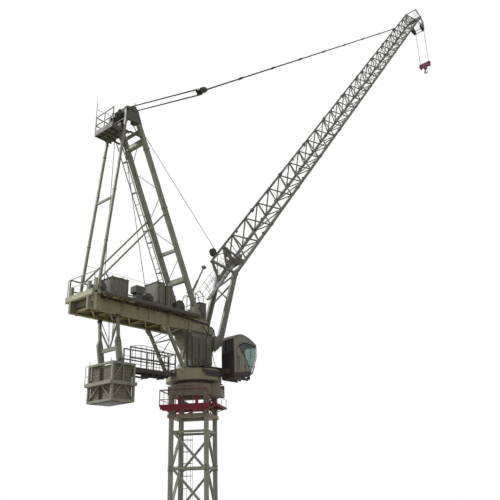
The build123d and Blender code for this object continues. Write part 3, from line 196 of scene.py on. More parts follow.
def colour_mix(nodes, links, factor, first, second):
    """Mix of two colours, each given as a value or as a socket."""
    mix = nodes.new("ShaderNodeMix")
    mix.data_type = "RGBA"
    links.new(factor, mix.inputs["Factor"])
    for name, colour in (("A", first), ("B", second)):
        socket = [s for s in mix.inputs if s.name == name and s.type == "RGBA"][0]
        if isinstance(colour, tuple):
            socket.default_value = colour
        else:
            links.new(colour, socket)
    return [s for s in mix.outputs if s.type == "RGBA"][0]


def scaled(nodes, links, value, share):
    """A value times a fixed share."""
    product = nodes.new("ShaderNodeMath")
    product.operation = "MULTIPLY"
    product.inputs[1].default_value = share
    links.new(value, product.inputs[0])
    return product.outputs[0]


rust = (96, 62, 42)


def weathered(name, paint, faded, stain, chip=rust, runs=0.5, chips=0.35, roughness=(0.45, 0.75),
              metallic=0.0, cloud=1.7, bump=0.25, grain=70):
    """Paint with clouds of a faded tone, stains that run down, small chips and fine bumps."""
    finish = bpy.data.materials.new(name)
    finish.use_nodes = True
    nodes, links = finish.node_tree.nodes, finish.node_tree.links
    shader = nodes["Principled BSDF"]
    place = nodes.new("ShaderNodeTexCoord").outputs["Object"]
    clouds = ramp_between(nodes, links, noise_on(nodes, links, place, cloud, 6), 0.36, 0.66)
    colour = colour_mix(nodes, links, clouds, tone(*paint), tone(*faded))
    run_noise = noise_on(nodes, links, place, 2.2, 5, (5, 5, 0.5))
    run_share = scaled(nodes, links, ramp_between(nodes, links, run_noise, 0.50, 0.74), runs)
    colour = colour_mix(nodes, links, run_share, colour, tone(*stain))
    fine = noise_on(nodes, links, place, grain, 3)
    if chip is not None:
        flake = noise_on(nodes, links, place, 14, 7)
        flake_share = scaled(nodes, links, ramp_between(nodes, links, flake, 0.62, 0.68), chips)
        colour = colour_mix(nodes, links, flake_share, colour, tone(*chip))
    links.new(colour, shader.inputs["Base Color"])
    dull = nodes.new("ShaderNodeMapRange")
    dull.inputs["To Min"].default_value = roughness[0]
    dull.inputs["To Max"].default_value = roughness[1]
    links.new(clouds, dull.inputs["Value"])
    links.new(dull.outputs[0], shader.inputs["Roughness"])
    shader.inputs["Metallic"].default_value = metallic
    bumps = nodes.new("ShaderNodeBump")
    bumps.inputs["Strength"].default_value = bump
    bumps.inputs["Distance"].default_value = 0.004
    links.new(fine, bumps.inputs["Height"])
    links.new(bumps.outputs[0], shader.inputs["Normal"])
    return finish


olive = weathered("olive_paint", (140, 140, 126), (158, 157, 142), (92, 84, 62))
mast_grey = weathered("mast_paint", (152, 152, 138), (170, 170, 156), (116, 106, 84), runs=0.4)
girder_olive = weathered("girder_paint", (150, 148, 124), (168, 165, 140), (112, 96, 58), runs=0.7,
                         cloud=1.1)
# The underside olive is the girder olive made darker and warmer. This is painted shade, matching how the
# undersides look from below.
underside_olive_with_painted_shade = weathered("underside_paint_with_painted_shade", (142, 132, 92), (160, 148, 106), (120, 100, 56))
pale_cream = weathered("cream_paint", (188, 186, 160), (204, 201, 176), (150, 140, 108))
dark_brown = weathered("dark_paint", (74, 68, 60), (88, 82, 72), (50, 44, 38))
head_brown = weathered("mast_head_paint", (146, 136, 122), (162, 152, 138), (116, 96, 76))
rust_brown = weathered("rusty_steel", (84, 66, 58), (100, 80, 70), (56, 42, 36))
rail_pink = weathered("guard_paint", (150, 138, 134), (166, 154, 148), (112, 92, 88))
pale_olive = weathered("pale_paint", (176, 178, 158), (196, 197, 180), (140, 134, 108))
jib_grey = weathered("jib_paint", (122, 122, 115), (140, 139, 132), (98, 92, 78), runs=0.35)
dark_red = weathered("dark_red_paint", (122, 22, 44), (142, 40, 58), (66, 18, 26), (60, 40, 34))
rail_brown = weathered("rail_paint", (96, 62, 60), (112, 76, 72), (60, 42, 38))
hook_red = weathered("hook_paint", (112, 30, 58), (130, 44, 72), (66, 24, 36), (70, 52, 46))
housing_grey = weathered("housing_paint", (118, 116, 102), (134, 131, 116), (84, 82, 68), runs=0.6)
cab_grey = weathered("cab_paint", (140, 136, 125), (156, 151, 139), (100, 92, 76))
drum_grey = weathered("turntable_paint", (158, 154, 132), (176, 171, 150), (124, 104, 70), runs=0.6)
machine_grey = weathered("winch_paint", (92, 92, 82), (106, 106, 95), (52, 48, 40), runs=0.6)
slab_grey = weathered("ballast_concrete", (118, 114, 98), (136, 131, 114), (92, 86, 70), (96, 90, 80),
                      runs=0.8, roughness=(0.8, 0.95), bump=0.6, grain=40)
dark_steel = weathered("dark_steel", (62, 58, 55), (78, 72, 67), (40, 36, 33), (92, 60, 42),
                       metallic=0.25, roughness=(0.4, 0.65))
wire = weathered("wire_rope", (70, 66, 61), (92, 88, 82), (44, 41, 38), None, metallic=0.5,
                 roughness=(0.4, 0.6), bump=0.7, grain=160)
rubber = weathered("rubber", (34, 34, 35), (46, 46, 46), (28, 27, 26), None, roughness=(0.6, 0.8))
print(len(bpy.data.materials), "finishes")

# %% [markdown]
# The cab's panes are tinted glass. The light passes twice through each pane, so the tint is
# written paler than it shows.

# %% Glass
glass = bpy.data.materials.new("cab_glass")
glass.use_nodes = True
glass_nodes, glass_links = glass.node_tree.nodes, glass.node_tree.links
pane_shader = glass_nodes["Principled BSDF"]
pane_shader.inputs["Transmission Weight"].default_value = 0.85
pane_shader.inputs["IOR"].default_value = 1.10
glass_place = glass_nodes.new("ShaderNodeTexCoord").outputs["Object"]
smear_noise = noise_on(glass_nodes, glass_links, glass_place, 3, 5)
smear = ramp_between(glass_nodes, glass_links, smear_noise, 0.3, 0.7)
glass_links.new(colour_mix(glass_nodes, glass_links, smear, tone(176, 194, 190), tone(192, 204, 200)),
                pane_shader.inputs["Base Color"])
glass_rough = glass_nodes.new("ShaderNodeMapRange")
glass_rough.inputs["To Min"].default_value = 0.02
glass_rough.inputs["To Max"].default_value = 0.12
glass_links.new(smear, glass_rough.inputs["Value"])
glass_links.new(glass_rough.outputs[0], pane_shader.inputs["Roughness"])
print("glass is ready")

# %% [markdown]
# Every solid of the frame gets its finish here. The list goes from the name of a node to the
# paint that the real piece wears, and what isn't named wears the olive paint.

# %% Finishes of the frame
finish_of = {
    "cab_glazing": glass, "cab_shell": cab_grey, "cab_support": dark_brown,
    "service_platform": dark_red, "hook_block": hook_red, "hook": dark_steel,
    "ballast_slabs": slab_grey, "ballast_cage": olive, "counter_jib_girders": girder_olive,
    "turntable": drum_grey, "slewing_race": dark_steel, "slewing_tower": olive,
    "tower_cabinets": housing_grey, "switch_cabinets": housing_grey, "power_pack": housing_grey,
    "luffing_winch": machine_grey, "hoist_winch": machine_grey, "auxiliary_winch": machine_grey,
    "winch_ropes": wire, "hoist_rope_falls": wire, "luffing_rope_falls": wire,
    "flying_block": dark_steel, "flying_block_sheaves": dark_steel, "jib_head_sheaves": dark_steel,
    "pendant_bars": dark_steel, "mast_head": head_brown, "side_walkway_near": machine_grey,
    "side_walkway_far": machine_grey, "rear_walkway": machine_grey, "a_frame_head": machine_grey,
    "head_platform": machine_grey, "jib_pivot_brackets": cab_grey,
}
for name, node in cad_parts.items():
    if name.startswith("mast_") and name != "mast_head" or name == "base_frame":
        finish = mast_grey
    elif name in finish_of:
        finish = finish_of[name]
    elif name.startswith("jib_"):
        finish = jib_grey
    else:
        finish = olive
    node.data.materials.clear()
    node.data.materials.append(finish)
print(len(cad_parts), "nodes have a finish")

# %% [markdown]
# The rest is modelling. The drawings of such a crane are in millimetres, so each piece is written
# in millimetres, in the space of the body that carries it: the upper works with heights over the
# slewing plane, the mast with its turned square, the jib with s along its chords and t square to
# them, and the pendant line. A matrix for each space takes a piece to its place in metres.

# %% Spaces of the crane
mm = 0.001
luff_at_rest = math.radians(50.1)
jib_foot_pin = Vector((0.610, 0, ring_height + 1.095))
pendant_pin = Vector((15.222857, 0, 27.63366))
pendant_aim = Vector((-2.470, 0, ring_height + 7.0))
small = Matrix.Diagonal((mm, mm, mm, 1))
upper = Matrix.Translation((0, 0, ring_height)) @ small
mast = Matrix.Rotation(math.radians(30.7), 4, "Z") @ small
mast_top = Matrix.Translation((0, 0, ring_height)) @ mast
jib = Matrix.Translation(jib_foot_pin) @ Matrix.Rotation(-luff_at_rest, 4, "Y") @ small
pendant_way = pendant_aim - pendant_pin
pendant_turn = Matrix.Rotation(-math.atan2(pendant_way.z, pendant_way.x), 4, "Y")
pendant = Matrix.Translation(pendant_pin) @ pendant_turn @ small
frame_half, deck_level = 345, 1680       # half the spacing of girders, legs and chords; top of the deck
sides = ((-1, -frame_half), (1, frame_half))
across, lengthwise = (0, 1, 0), (1, 0, 0)
quarter_x = Matrix.Rotation(math.radians(90), 4, "X")
quarter_z = Matrix.Rotation(math.radians(90), 4, "Z")
print("pendant line is", round(pendant_way.length, 3), "m long")

# %% [markdown]
# A few hands do most of the work: add a bar between two points, add a block, cut a plate from its
# outline, turn a wheel on the lathe, bend a tube through points, and copy a bolt to many places.
# Each hand returns raw shapes. They are joined into one piece, and only then are all its edges
# broken at once by a Bevel modifier, which is quicker than bevelling each bar.

# %% Hands: select, bar, block
def pick(*objects):
    """Select these objects alone, the first as active."""
    bpy.ops.object.select_all(action="DESELECT")
    for item in objects:
        item.select_set(True)
    bpy.context.view_layer.objects.active = objects[0]


def pose_of(start, end, up_hint):
    """Turn and place of a bar: its own Z runs from start to end, its Y leans to the hint."""
    start, end = Vector(start), Vector(end)
    along = (end - start).normalized()
    side = Vector(up_hint).cross(along)
    if side.length < 1e-6:
        side = Vector((0, 1, 0)).cross(along)
    side.normalize()
    facing = Matrix((side, along.cross(side), along)).transposed().to_4x4()
    return Matrix.Translation((start + end) / 2) @ facing, (end - start).length


def bar(start, end, width, depth=None, space=None, up_hint=(0, 0, 1)):
    """Square bar between two points."""
    pose, length = pose_of(start, end, up_hint)
    bpy.ops.mesh.primitive_cube_add(size=1)
    item = bpy.context.object
    item.matrix_world = (space or upper) @ pose @ Matrix.Diagonal((width, depth or width, length, 1))
    return item


def block(x0, x1, y0, y1, z0, z1, space=None):
    """Box between two corners."""
    bpy.ops.mesh.primitive_cube_add(size=1)
    item = bpy.context.object
    middle = Matrix.Translation(((x0 + x1) / 2, (y0 + y1) / 2, (z0 + z1) / 2))
    item.matrix_world = (space or upper) @ middle @ Matrix.Diagonal((x1 - x0, y1 - y0, z1 - z0, 1))
    return item


def rod(start, end, diameter, sides=8, space=None):
    """Round bar between two points."""
    pose, length = pose_of(start, end, (0, 0, 1))
    bpy.ops.mesh.primitive_cylinder_add(vertices=sides, radius=0.5, depth=1)
    item = bpy.context.object
    item.matrix_world = (space or upper) @ pose @ Matrix.Diagonal((diameter, diameter, length, 1))
    return item


def blocks(rows, space=None):
    """One box for each row of six limits."""
    return [block(*limits, space) for limits in rows]


def rods(ends, diameter, space=None):
    """One round bar for each pair of points."""
    return [rod(start, end, diameter, 8, space) for start, end in ends]

# %% Hands: plate, wheel, tube
def plate(outline, y, thickness, space=None):
    """Flat plate with its outline in X and Z, centred on y."""
    bpy.ops.mesh.primitive_circle_add(vertices=len(outline), fill_type="NGON")
    item = bpy.context.object
    for corner, (x, z) in zip(item.data.vertices, outline):
        corner.co = (x, -thickness / 2, z)
    bpy.ops.object.mode_set(mode="EDIT")
    bpy.ops.mesh.select_all(action="SELECT")
    bpy.ops.mesh.extrude_region_move(TRANSFORM_OT_translate={"value": (0, thickness, 0)})
    bpy.ops.mesh.select_all(action="SELECT")
    bpy.ops.mesh.normals_make_consistent(inside=False)
    bpy.ops.object.mode_set(mode="OBJECT")
    item.matrix_world = (space or upper) @ Matrix.Translation((0, y, 0))
    return item


def wheel(x, y, z, radius, width, rim=0.16, sunk=0.3, sides=28, space=None):
    """Wheel on an axle along Y: both faces are sunk between the rim and the hub."""
    bpy.ops.mesh.primitive_cylinder_add(vertices=sides, radius=radius, depth=width)
    item = bpy.context.object
    bpy.ops.object.mode_set(mode="EDIT")
    bpy.ops.mesh.select_mode(type="FACE")
    bpy.ops.mesh.select_all(action="DESELECT")
    bpy.ops.object.mode_set(mode="OBJECT")
    for face in item.data.polygons:
        face.select = abs(face.normal.z) > 0.5
    bpy.ops.object.mode_set(mode="EDIT")
    bpy.ops.mesh.inset(thickness=radius * rim, use_individual=True)
    bpy.ops.mesh.inset(thickness=radius * 0.02, depth=-width * sunk, use_individual=True)
    bpy.ops.mesh.inset(thickness=radius * (0.62 - rim), use_individual=True)
    bpy.ops.mesh.inset(thickness=radius * 0.02, depth=width * sunk * 1.2, use_individual=True)
    bpy.ops.object.mode_set(mode="OBJECT")
    item.matrix_world = (space or upper) @ Matrix.Translation((x, y, z)) @ quarter_x
    return item


def tube(points, diameter, bend=0, sides=3, space=None):
    """Round tube bent through points: a chain of edges, rounded at its corners, made a curve."""
    points = [Vector(point) for point in points]
    bpy.ops.mesh.primitive_plane_add(size=1)
    item = bpy.context.object
    bpy.ops.object.mode_set(mode="EDIT")
    bpy.ops.mesh.select_mode(type="VERT")
    bpy.ops.mesh.select_all(action="SELECT")
    bpy.ops.mesh.merge(type="CENTER")
    bpy.ops.transform.translate(value=points[0])
    for here, there in zip(points, points[1:]):
        bpy.ops.mesh.extrude_region_move(TRANSFORM_OT_translate={"value": there - here})
    if bend:
        bpy.ops.object.mode_set(mode="OBJECT")
        for corner in item.data.vertices:
            corner.select = 0 < corner.index < len(points) - 1
        bpy.ops.object.mode_set(mode="EDIT")
        bpy.ops.mesh.bevel(offset=bend, segments=4, affect="VERTICES")
    bpy.ops.object.mode_set(mode="OBJECT")
    bpy.ops.object.convert(target="CURVE")
    item = bpy.context.object
    item.data.bevel_depth = diameter / 2
    item.data.bevel_resolution = sides - 2
    item.data.use_fill_caps = True
    bpy.ops.object.convert(target="MESH")
    item = bpy.context.object
    item.matrix_world = space or upper
    return item

# %% Hands: copy, bolts, finish a piece
def copy_at(item, place):
    """Copy with a mesh of its own, at a place in metres."""
    twin = item.copy()
    twin.data = item.data.copy()
    bpy.context.collection.objects.link(twin)
    twin.matrix_world = place
    return twin


def moved_copy(item, move):
    """Copy with a mesh of its own, moved by a matrix in metres."""
    return copy_at(item, move @ item.matrix_world)


def bolt_row(places, size, space=None, axis=(0, 0, 1)):
    """Hexagon bolt heads with washers at places, standing out along the axis."""
    facing = Vector((0, 0, 1)).rotation_difference(Vector(axis)).to_matrix().to_4x4()
    bpy.ops.mesh.primitive_cylinder_add(vertices=6, radius=size * 0.55, depth=size * 0.8)
    first = bpy.context.object
    bpy.ops.object.mode_set(mode="EDIT")
    bpy.ops.mesh.select_all(action="SELECT")
    bpy.ops.mesh.bevel(offset=size * 0.07, segments=1, affect="EDGES")
    bpy.ops.object.mode_set(mode="OBJECT")
    bpy.ops.mesh.primitive_cylinder_add(vertices=10, radius=size * 0.8, depth=size * 0.16)
    washer = bpy.context.object
    bpy.context.view_layer.update()
    pick(first, washer)
    bpy.ops.object.join()
    heads = [copy_at(first, (space or upper) @ Matrix.Translation(place) @ facing) for place in places]
    bpy.data.objects.remove(first, do_unlink=True)
    return heads


made = {}


def joined(name, shapes, finish):
    """Join shapes into one named mesh in its place, with its paint."""
    bpy.context.view_layer.update()
    pick(*shapes)
    if len(shapes) > 1:
        bpy.ops.object.join()
    item = bpy.context.object
    item.name = name
    item.data.name = name
    bpy.ops.object.transform_apply(location=True, rotation=True, scale=True)
    item.data.materials.clear()
    item.data.materials.append(finish)
    made[name] = len(item.data.polygons)
    return item


def piece(name, shapes, finish, body="upper_works", edge=0.0, smooth=False, replaces=(), segments=1):
    """Join shapes into one finished piece: edges broken, paint, body and material slot."""
    item = joined(name, shapes, finish)
    if edge:
        bpy.ops.object.modifier_add(type="BEVEL")
        breaker = item.modifiers[-1]
        breaker.width = edge * mm
        breaker.segments = segments
        breaker.limit_method = "ANGLE"
        bpy.ops.object.modifier_apply(modifier=breaker.name)
    if smooth:
        bpy.ops.object.shade_smooth_by_angle(angle=math.radians(35))
    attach(item, body)
    if replaces:
        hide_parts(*replaces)
    made[name] = len(item.data.polygons)
    return item

# %% [markdown]
# The turntable is a rolled drum. Its top plate is bolted down on a ring of studs, and short
# gussets stand under the flange. The bolts are modelled once and copied round a circle.

# %% Turntable bolts and gussets
def on_circle(radius, angle, z):
    """Point on a circle round the upright axis of its space."""
    return Vector((radius * math.cos(angle), radius * math.sin(angle), z))


def round_axle(x, y, z, radius, angle):
    """Point on a circle round an axle along Y."""
    return (x + radius * math.cos(angle), y, z + radius * math.sin(angle))


def turns_of(count, shift=0):
    """Angles that part a full turn evenly."""
    return [(step + shift) * math.tau / count for step in range(count)]


stud_ring, gusset_ring, seam_ring, race_ring = 690, 727, 720, 560
studs = bolt_row([on_circle(stud_ring, angle, 280) for angle in turns_of(48)], 26)
piece("turntable_bolts", studs, dark_steel)
gussets = []
for angle in turns_of(24, 0.5):
    gussets.append(bar(on_circle(gusset_ring, angle, 200), on_circle(gusset_ring, angle, 252), 12, 14,
                       up_hint=on_circle(1, angle, 0)))
for angle in (0.6, 2.1, 3.75, 4.55, 5.6):
    gussets.append(bar(on_circle(seam_ring, angle, 8), on_circle(seam_ring, angle, 250), 5, 6,
                       up_hint=on_circle(1, angle, 0)))
piece("turntable_gussets", gussets, drum_grey, edge=1.5)
race_bolts = bolt_row([on_circle(race_ring, angle, -66) for angle in turns_of(36)], 24)
piece("race_bolts", race_bolts, dark_steel, "mast")
print("turntable carries", len(studs), "bolts")

# %% [markdown]
# The grey housings beside the tower are sheet doors in frames. A pressed panel stands proud of each
# door, with hinges on one side, a handle on the other and louvres low down. One short function
# dresses a door anywhere, so the tower's doors and the machine housings share it.

# %% Door dressing
def dress_door(x0, x1, y, z0, z1, outward, louvres=6, handle_at=0.9):
    """Pressed panel, hinges, handle and louvres on a door whose face is at y."""
    near, far = sorted((y, y + outward * 8))
    shapes = [block(x0 + 16, x1 - 16, near, far, z0 + 16, z1 - 16)]
    wide, tall = x1 - x0, z1 - z0
    hinge_x, hinge_y = x0 + 10, y + outward * 10
    for height in (z0 + 0.18 * tall, z0 + 0.82 * tall):
        shapes.append(rod((hinge_x, hinge_y, height - 26), (hinge_x, hinge_y, height + 26), 14))
    grip, middle = x0 + wide * handle_at, z0 + tall * 0.5
    foot_y, hand_y = y + outward * 6, y + outward * 26
    shapes.append(tube([(grip, foot_y, middle - 36), (grip, hand_y, middle - 36),
                        (grip, hand_y, middle + 36), (grip, foot_y, middle + 36)], 8, 6))
    louvre_y = y + outward * 12
    for row in range(louvres):
        height = z0 + tall * 0.12 + row * 20
        shapes.append(bar((x0 + wide * 0.25, louvre_y, height), (x0 + wide * 0.75, louvre_y, height), 3, 16,
                          up_hint=(0, outward, -1)))
    return shapes


tower_near, panel_near = -frame_half - 176, -frame_half - 116
doors = dress_door(-560, -330, tower_near, 345, 1060, -1) + dress_door(-325, -82, tower_near, 345, 1060, -1)
doors += dress_door(-45, 208, panel_near, 435, 1015, -1, louvres=0)
doors += blocks([(x, x + 16, panel_near - 16, panel_near - 6, 470, 980) for x in range(-20, 171, 38)])
piece("tower_doors", doors, housing_grey, edge=2)
print("tower doors have", made["tower_doors"], "faces")

# %% Housings on the deck
door_plane = 240
doors = []
for x0, x1, high in ((-2910, -2670, 500), (-2670, -2430, 500), (-1525, -1400, 690), (-1400, -1275, 690),
                     (-1223, -1119, 640), (-1119, -1015, 640)):
    for side in (-1, 1):
        doors += dress_door(x0 + 30, x1 - 30, side * door_plane, deck_level + 30, deck_level + high - 30,
                            side, louvres=5)
for y in (-150, 0, 150):
    doors.append(block(-2438, -2418, y - 55, y + 55, deck_level + 110, deck_level + 400))
    for z in range(deck_level + 140, deck_level + 349, 26):
        doors.append(bar((-2412, y - 45, z), (-2412, y + 45, z), 3, 18, up_hint=(1, 0, -1)))
for x, high in ((-2890, 500), (-2450, 500), (-1505, 690), (-1295, 690), (-1200, 640), (-1035, 640)):
    for y in (-220, 220):
        doors.append(wheel(x, y, deck_level + high + 34, 18, 8, rim=0.3, sides=14))
piece("housing_doors", doors, housing_grey, edge=2)
pipe_foot = deck_level + 500
exhaust = [(-2780, 120, pipe_foot), (-2780, 120, pipe_foot + 140), (-2850, 120, pipe_foot + 190)]
pipes = [tube(exhaust, 34, 30, 5),
         rod((-2560, -120, pipe_foot + 5), (-2560, -120, pipe_foot + 60), 70, 12),
         rod((-2560, -120, pipe_foot + 60), (-2560, -120, pipe_foot + 72), 92, 12)]
piece("power_pack_pipes", pipes, dark_steel, edge=2, smooth=True)
print("housings have", made["housing_doors"], "faces")

# %% [markdown]
# A winch drum is known by its rope. The turns lie side by side, so a ring is made once, as a
# many-sided hoop, and copied along the drum. Spokes go on each flange and bolts on the near end.

# %% Rope on the drums
turn_count, turn_spacing, first_turn_y, flange_y = 16, 16.3, -130, 163
for name, x, radius in (("luffing", -3140, 140), ("hoist", -1720, 150), ("auxiliary", -655, 165)):
    axle = deck_level + radius + 70
    bpy.ops.mesh.primitive_torus_add(major_radius=radius * 0.8 + 8, minor_radius=8.5, major_segments=28,
                                     minor_segments=6)
    first = bpy.context.object
    first.matrix_world = upper @ Matrix.Translation((x, first_turn_y, axle)) @ quarter_x
    bpy.context.view_layer.update()
    turns = [first] + [moved_copy(first, Matrix.Translation((0, turn_spacing * mm * turn, 0)))
                       for turn in range(1, turn_count)]
    piece(name + "_rope_turns", turns, wire, smooth=True)
    parts = []
    for y in (-flange_y, flange_y):
        for angle in turns_of(8):
            hub_end, rim_end = (round_axle(x, y, axle, reach, angle) for reach in (40, radius - 8))
            parts.append(bar(hub_end, rim_end, 10, 16, up_hint=across))
    parts += bolt_row([round_axle(x, -262, axle, 55, angle) for angle in turns_of(8)], 14, axis=(0, -1, 0))
    parts += [wheel(x, y, axle, 80, 6, sides=18) for y in range(232, 318, 17)]
    parts += blocks([(x - 34, x + 34, 240, 320, axle + 62, axle + 104),
                     (x - 60, x + 60, 212, 330, deck_level, deck_level + 46)])
    piece(name + "_winch_parts", parts, machine_grey, edge=1.5)
print("winches have", made["hoist_rope_turns"], "faces of rope each")

# %% [markdown]
# The driver looks out through one large tinted side window and a raked front screen. From below,
# the window is dark where the cab's lining stands behind it, and clear only towards the front. So
# the cab gets a dark lining, a seat, two consoles and a floor, and each window its rubber frame.

# %% Cab inside
cab_middle, lining_near, lining_far = -800, -1008, -606
far_wall = [(492, 92), (492, 1085), (540, 1130), (640, 1172), (730, 1182), (925, 1162), (1115, 1100),
            (1308, 1012), (1300, 706), (1212, 484), (1080, 236), (1025, 180)]
ceiling = [(500, 1070), (545, 1118), (640, 1160), (730, 1170), (925, 1150), (925, 1138), (730, 1158),
           (645, 1148), (552, 1106), (510, 1060)]
window_shade = [(650, 918), (762, 998), (961, 1024), (1160, 1004), (1330, 972), (1328, 930), (1150, 950),
                (950, 962), (895, 864), (910, 627), (960, 440), (924, 566)]
lining = [plate(far_wall, lining_far, 10), plate(ceiling, cab_middle, 380),
          plate(window_shade, lining_near, 8),
          bar((1000, -1016, 400), (1222, -1016, 436), 16, 20, up_hint=across)]
lining += blocks([(492, 506, -1000, -604, 92, 750), (500, 1020, -1000, lining_far, 96, 112)])
piece("cab_lining", lining, rubber, edge=3)
seat_side = [(690, 300), (980, 330), (985, 385), (740, 365), (700, 760), (640, 770), (655, 340)]
head_rest = [(668, 790), (712, 786), (716, 900), (680, 905)]
console = [(760, 300), (1060, 300), (1100, 420), (1080, 480), (960, 455), (760, 450)]
seat = [plate(seat_side, cab_middle, 230), plate(head_rest, cab_middle, 130),
        wheel(800, cab_middle, 230, 60, 90, sides=16), block(770, 840, -840, -760, 112, 310)]
for y in (-960, -650):
    seat += [plate(console, y, 70), rod((1010, y, 465), (1020, y, 560), 12),
             wheel(1022, y, 570, 20, 34, sides=14)]
piece("cab_seat_and_consoles", seat, dark_steel, edge=6, segments=2)
print("cab inside has", made["cab_seat_and_consoles"], "faces")

# %% Cab outside
side_window = [(642, 924), (762, 1005), (961, 1030), (1160, 1010), (1338, 978), (1328, 690), (1240, 470),
               (1118, 226), (1016, 393), (924, 566), (642, 924)]
rear_window = [(-990, 763), (-700, 763), (-700, 1080), (-990, 1080), (-990, 763)]
trims = [tube([(x, y, z) for x, z in side_window], 16, 10) for y in (-1032, -568)]
trims += [tube([(461, y, z) for y, z in rear_window], 18, 24),
          bar((1346, -1020, 1030), (1346, -580, 1030), 14)]
piece("cab_window_rubber", trims, rubber, smooth=True)
door_plane = -1033
seams = [bar((x0, door_plane, z0), (x1, door_plane, z1), width, depth, up_hint=across)
         for x0, z0, x1, z1, width, depth in (
             (872, 170, 872, 560, 7, 8), (560, 120, 560, 850, 7, 8), (560, 120, 1000, 120, 7, 8),
             (560, 850, 640, 924, 7, 8), (462, 1100, 640, 1195, 8, 10), (1246, 460, 1130, 215, 20, 12))]
piece("cab_door_seams", seams, dark_steel, edge=1.5)
rails = [tube([(600, -1032, 300), (600, -1068, 300), (600, -1068, 640), (600, -1032, 640)], 18, 20),
         tube([(1290, cab_middle, 560), (1330, cab_middle, 640), (1362, cab_middle, 900)], 10, 20),
         bar((1364, -808, 700), (1366, -792, 985), 12, 10), block(852, 882, -1046, -1030, 380, 440)]
for y in (-1015, -620):
    rails.append(tube([(455, y, 140), (420, y, 140), (420, y, 700), (455, y, 700)], 18, 20))
for y in (-1020, -580):
    rails.append(tube([(700, y, 1205), (700, y, 1232), (1080, y, 1178), (1080, y, 1145)], 14, 16))
rails += rods([((420, -1015, z), (420, -620, z)) for z in range(200, 601, 100)], 14)
piece("cab_hand_rails", rails, dark_steel, edge=1.5, smooth=True)
sill = [(463, 64), (1036, 152), (1098, 215), (1092, 300), (463, 200)]
skirt = [(-420, 150), (560, 90), (1000, 100), (1000, 190), (560, 200), (-420, 240)]
beams = [plate(sill, door_plane, 8), plate(skirt, -752, 22)] + blocks([
    (-300, 463, -700, -660, 288, 330), (-300, 463, -560, -520, 288, 330), (-300, 463, -700, -520, 330, 342),
    (480, 1010, -1000, -960, 44, 90), (480, 1010, -640, -600, 44, 90), (470, 500, -1000, -600, 44, 90),
    (452, 462, -1022, -578, 70, 750), (-300, 463, -752, -735, 90, 200)])
beams += blocks([(436, 454, y - 10, y + 10, 80, 1080) for y in range(-940, -669, 90)])
piece("cab_floor_beams", beams, dark_steel, edge=3)
roof = [(463, 1108), (530, 1168), (640, 1222), (730, 1238), (840, 1234), (928, 1218), (1040, 1182),
        (1150, 1136), (1260, 1082), (1345, 1030), (1127, 1122), (928, 1188), (730, 1206), (640, 1198),
        (530, 1158)]
piece("cab_roof", [plate(roof, cab_middle, 464)], cab_grey, edge=3, smooth=True)
lamps = []
for y in (-960, -640):
    lamp_place = upper @ Matrix.Translation((1075, y, 120)) @ Matrix.Rotation(math.radians(70), 4, "Z")
    lamps += [wheel(0, 0, 0, 42, 50, sides=20, space=lamp_place), bar((1040, y, 170), (1070, y, 130), 14)]
piece("cab_lamps", lamps, dark_steel, edge=2)
print("cab outside has", made["cab_hand_rails"], "faces of rails")

# %% [markdown]
# The counterweight hangs from the two girders. Its slabs have a slot in the middle of each end,
# where the dark gap with its pale edges shows in the picture. One slab is drawn as an outline with
# that slot, pulled up to its thickness and copied for the whole stack.

# %% Counterweight slabs
slab_x, slab_y, slot_wide, slot_deep, slab_count, slab_gap = 273, 403, 80, 58, 9, 4
weight_x, stack_low, stack_high = -2605, -655, 101
half_slab = [(-slab_x, -slab_y), (slab_x, -slab_y), (slab_x, -slot_wide), (slab_x - slot_deep, -slot_wide),
             (slab_x - slot_deep, slot_wide), (slab_x, slot_wide)]
outline = half_slab + [(-x, -y) for x, y in half_slab]
pitch = (stack_high - stack_low) / slab_count
first = plate([(x, -y) for x, y in outline], 0, pitch - slab_gap)
first.matrix_world = upper @ Matrix.Translation((weight_x, 0, stack_low + pitch / 2)) @ quarter_x
bpy.context.view_layer.update()
stack = [first] + [moved_copy(first, Matrix.Translation((0, 0, pitch * mm * row)))
                   for row in range(1, slab_count)]
piece("counterweight_slabs", stack, slab_grey, edge=4, replaces=("ballast_slabs",))
eyes = [block(weight_x - 270, weight_x + 270, -400, 400, stack_low - 62, stack_low - 52),
        bar((weight_x - 300, 0, stack_low + 10), (weight_x - 300, 0, stack_high), 12, 8, up_hint=lengthwise)]
for x in (-2800, -2410):
    for y in (-260, 260):
        eyes += [wheel(x, y, 128, 30, 12, rim=0.25, sides=16), block(x - 26, x + 26, y - 16, y + 16, 96, 108)]
piece("counterweight_eyes", eyes, dark_steel, edge=2)
print("slabs have", made["counterweight_slabs"], "faces")

# %% Counterweight chains and hand rail
def chain(start, end, link=34, wire_size=9):
    """Chain of oval links, each turned a quarter to the one before."""
    count = max(2, int((Vector(end) - Vector(start)).length / (link * 0.72)))
    pose, length = pose_of(start, end, across)
    bpy.ops.mesh.primitive_torus_add(major_radius=0.5, minor_radius=wire_size / link / 2, major_segments=10,
                                     minor_segments=5)
    ring = bpy.context.object
    oval = Matrix.Diagonal((link * 0.62, link, link, 1))
    links = []
    for step in range(count):
        share = (step + 0.5) / count - 0.5
        twist = quarter_z if step % 2 else Matrix()
        place = upper @ pose @ Matrix.Translation((0, 0, length * share)) @ twist @ quarter_x @ oval
        links.append(copy_at(ring, place))
    bpy.data.objects.remove(ring, do_unlink=True)
    return links


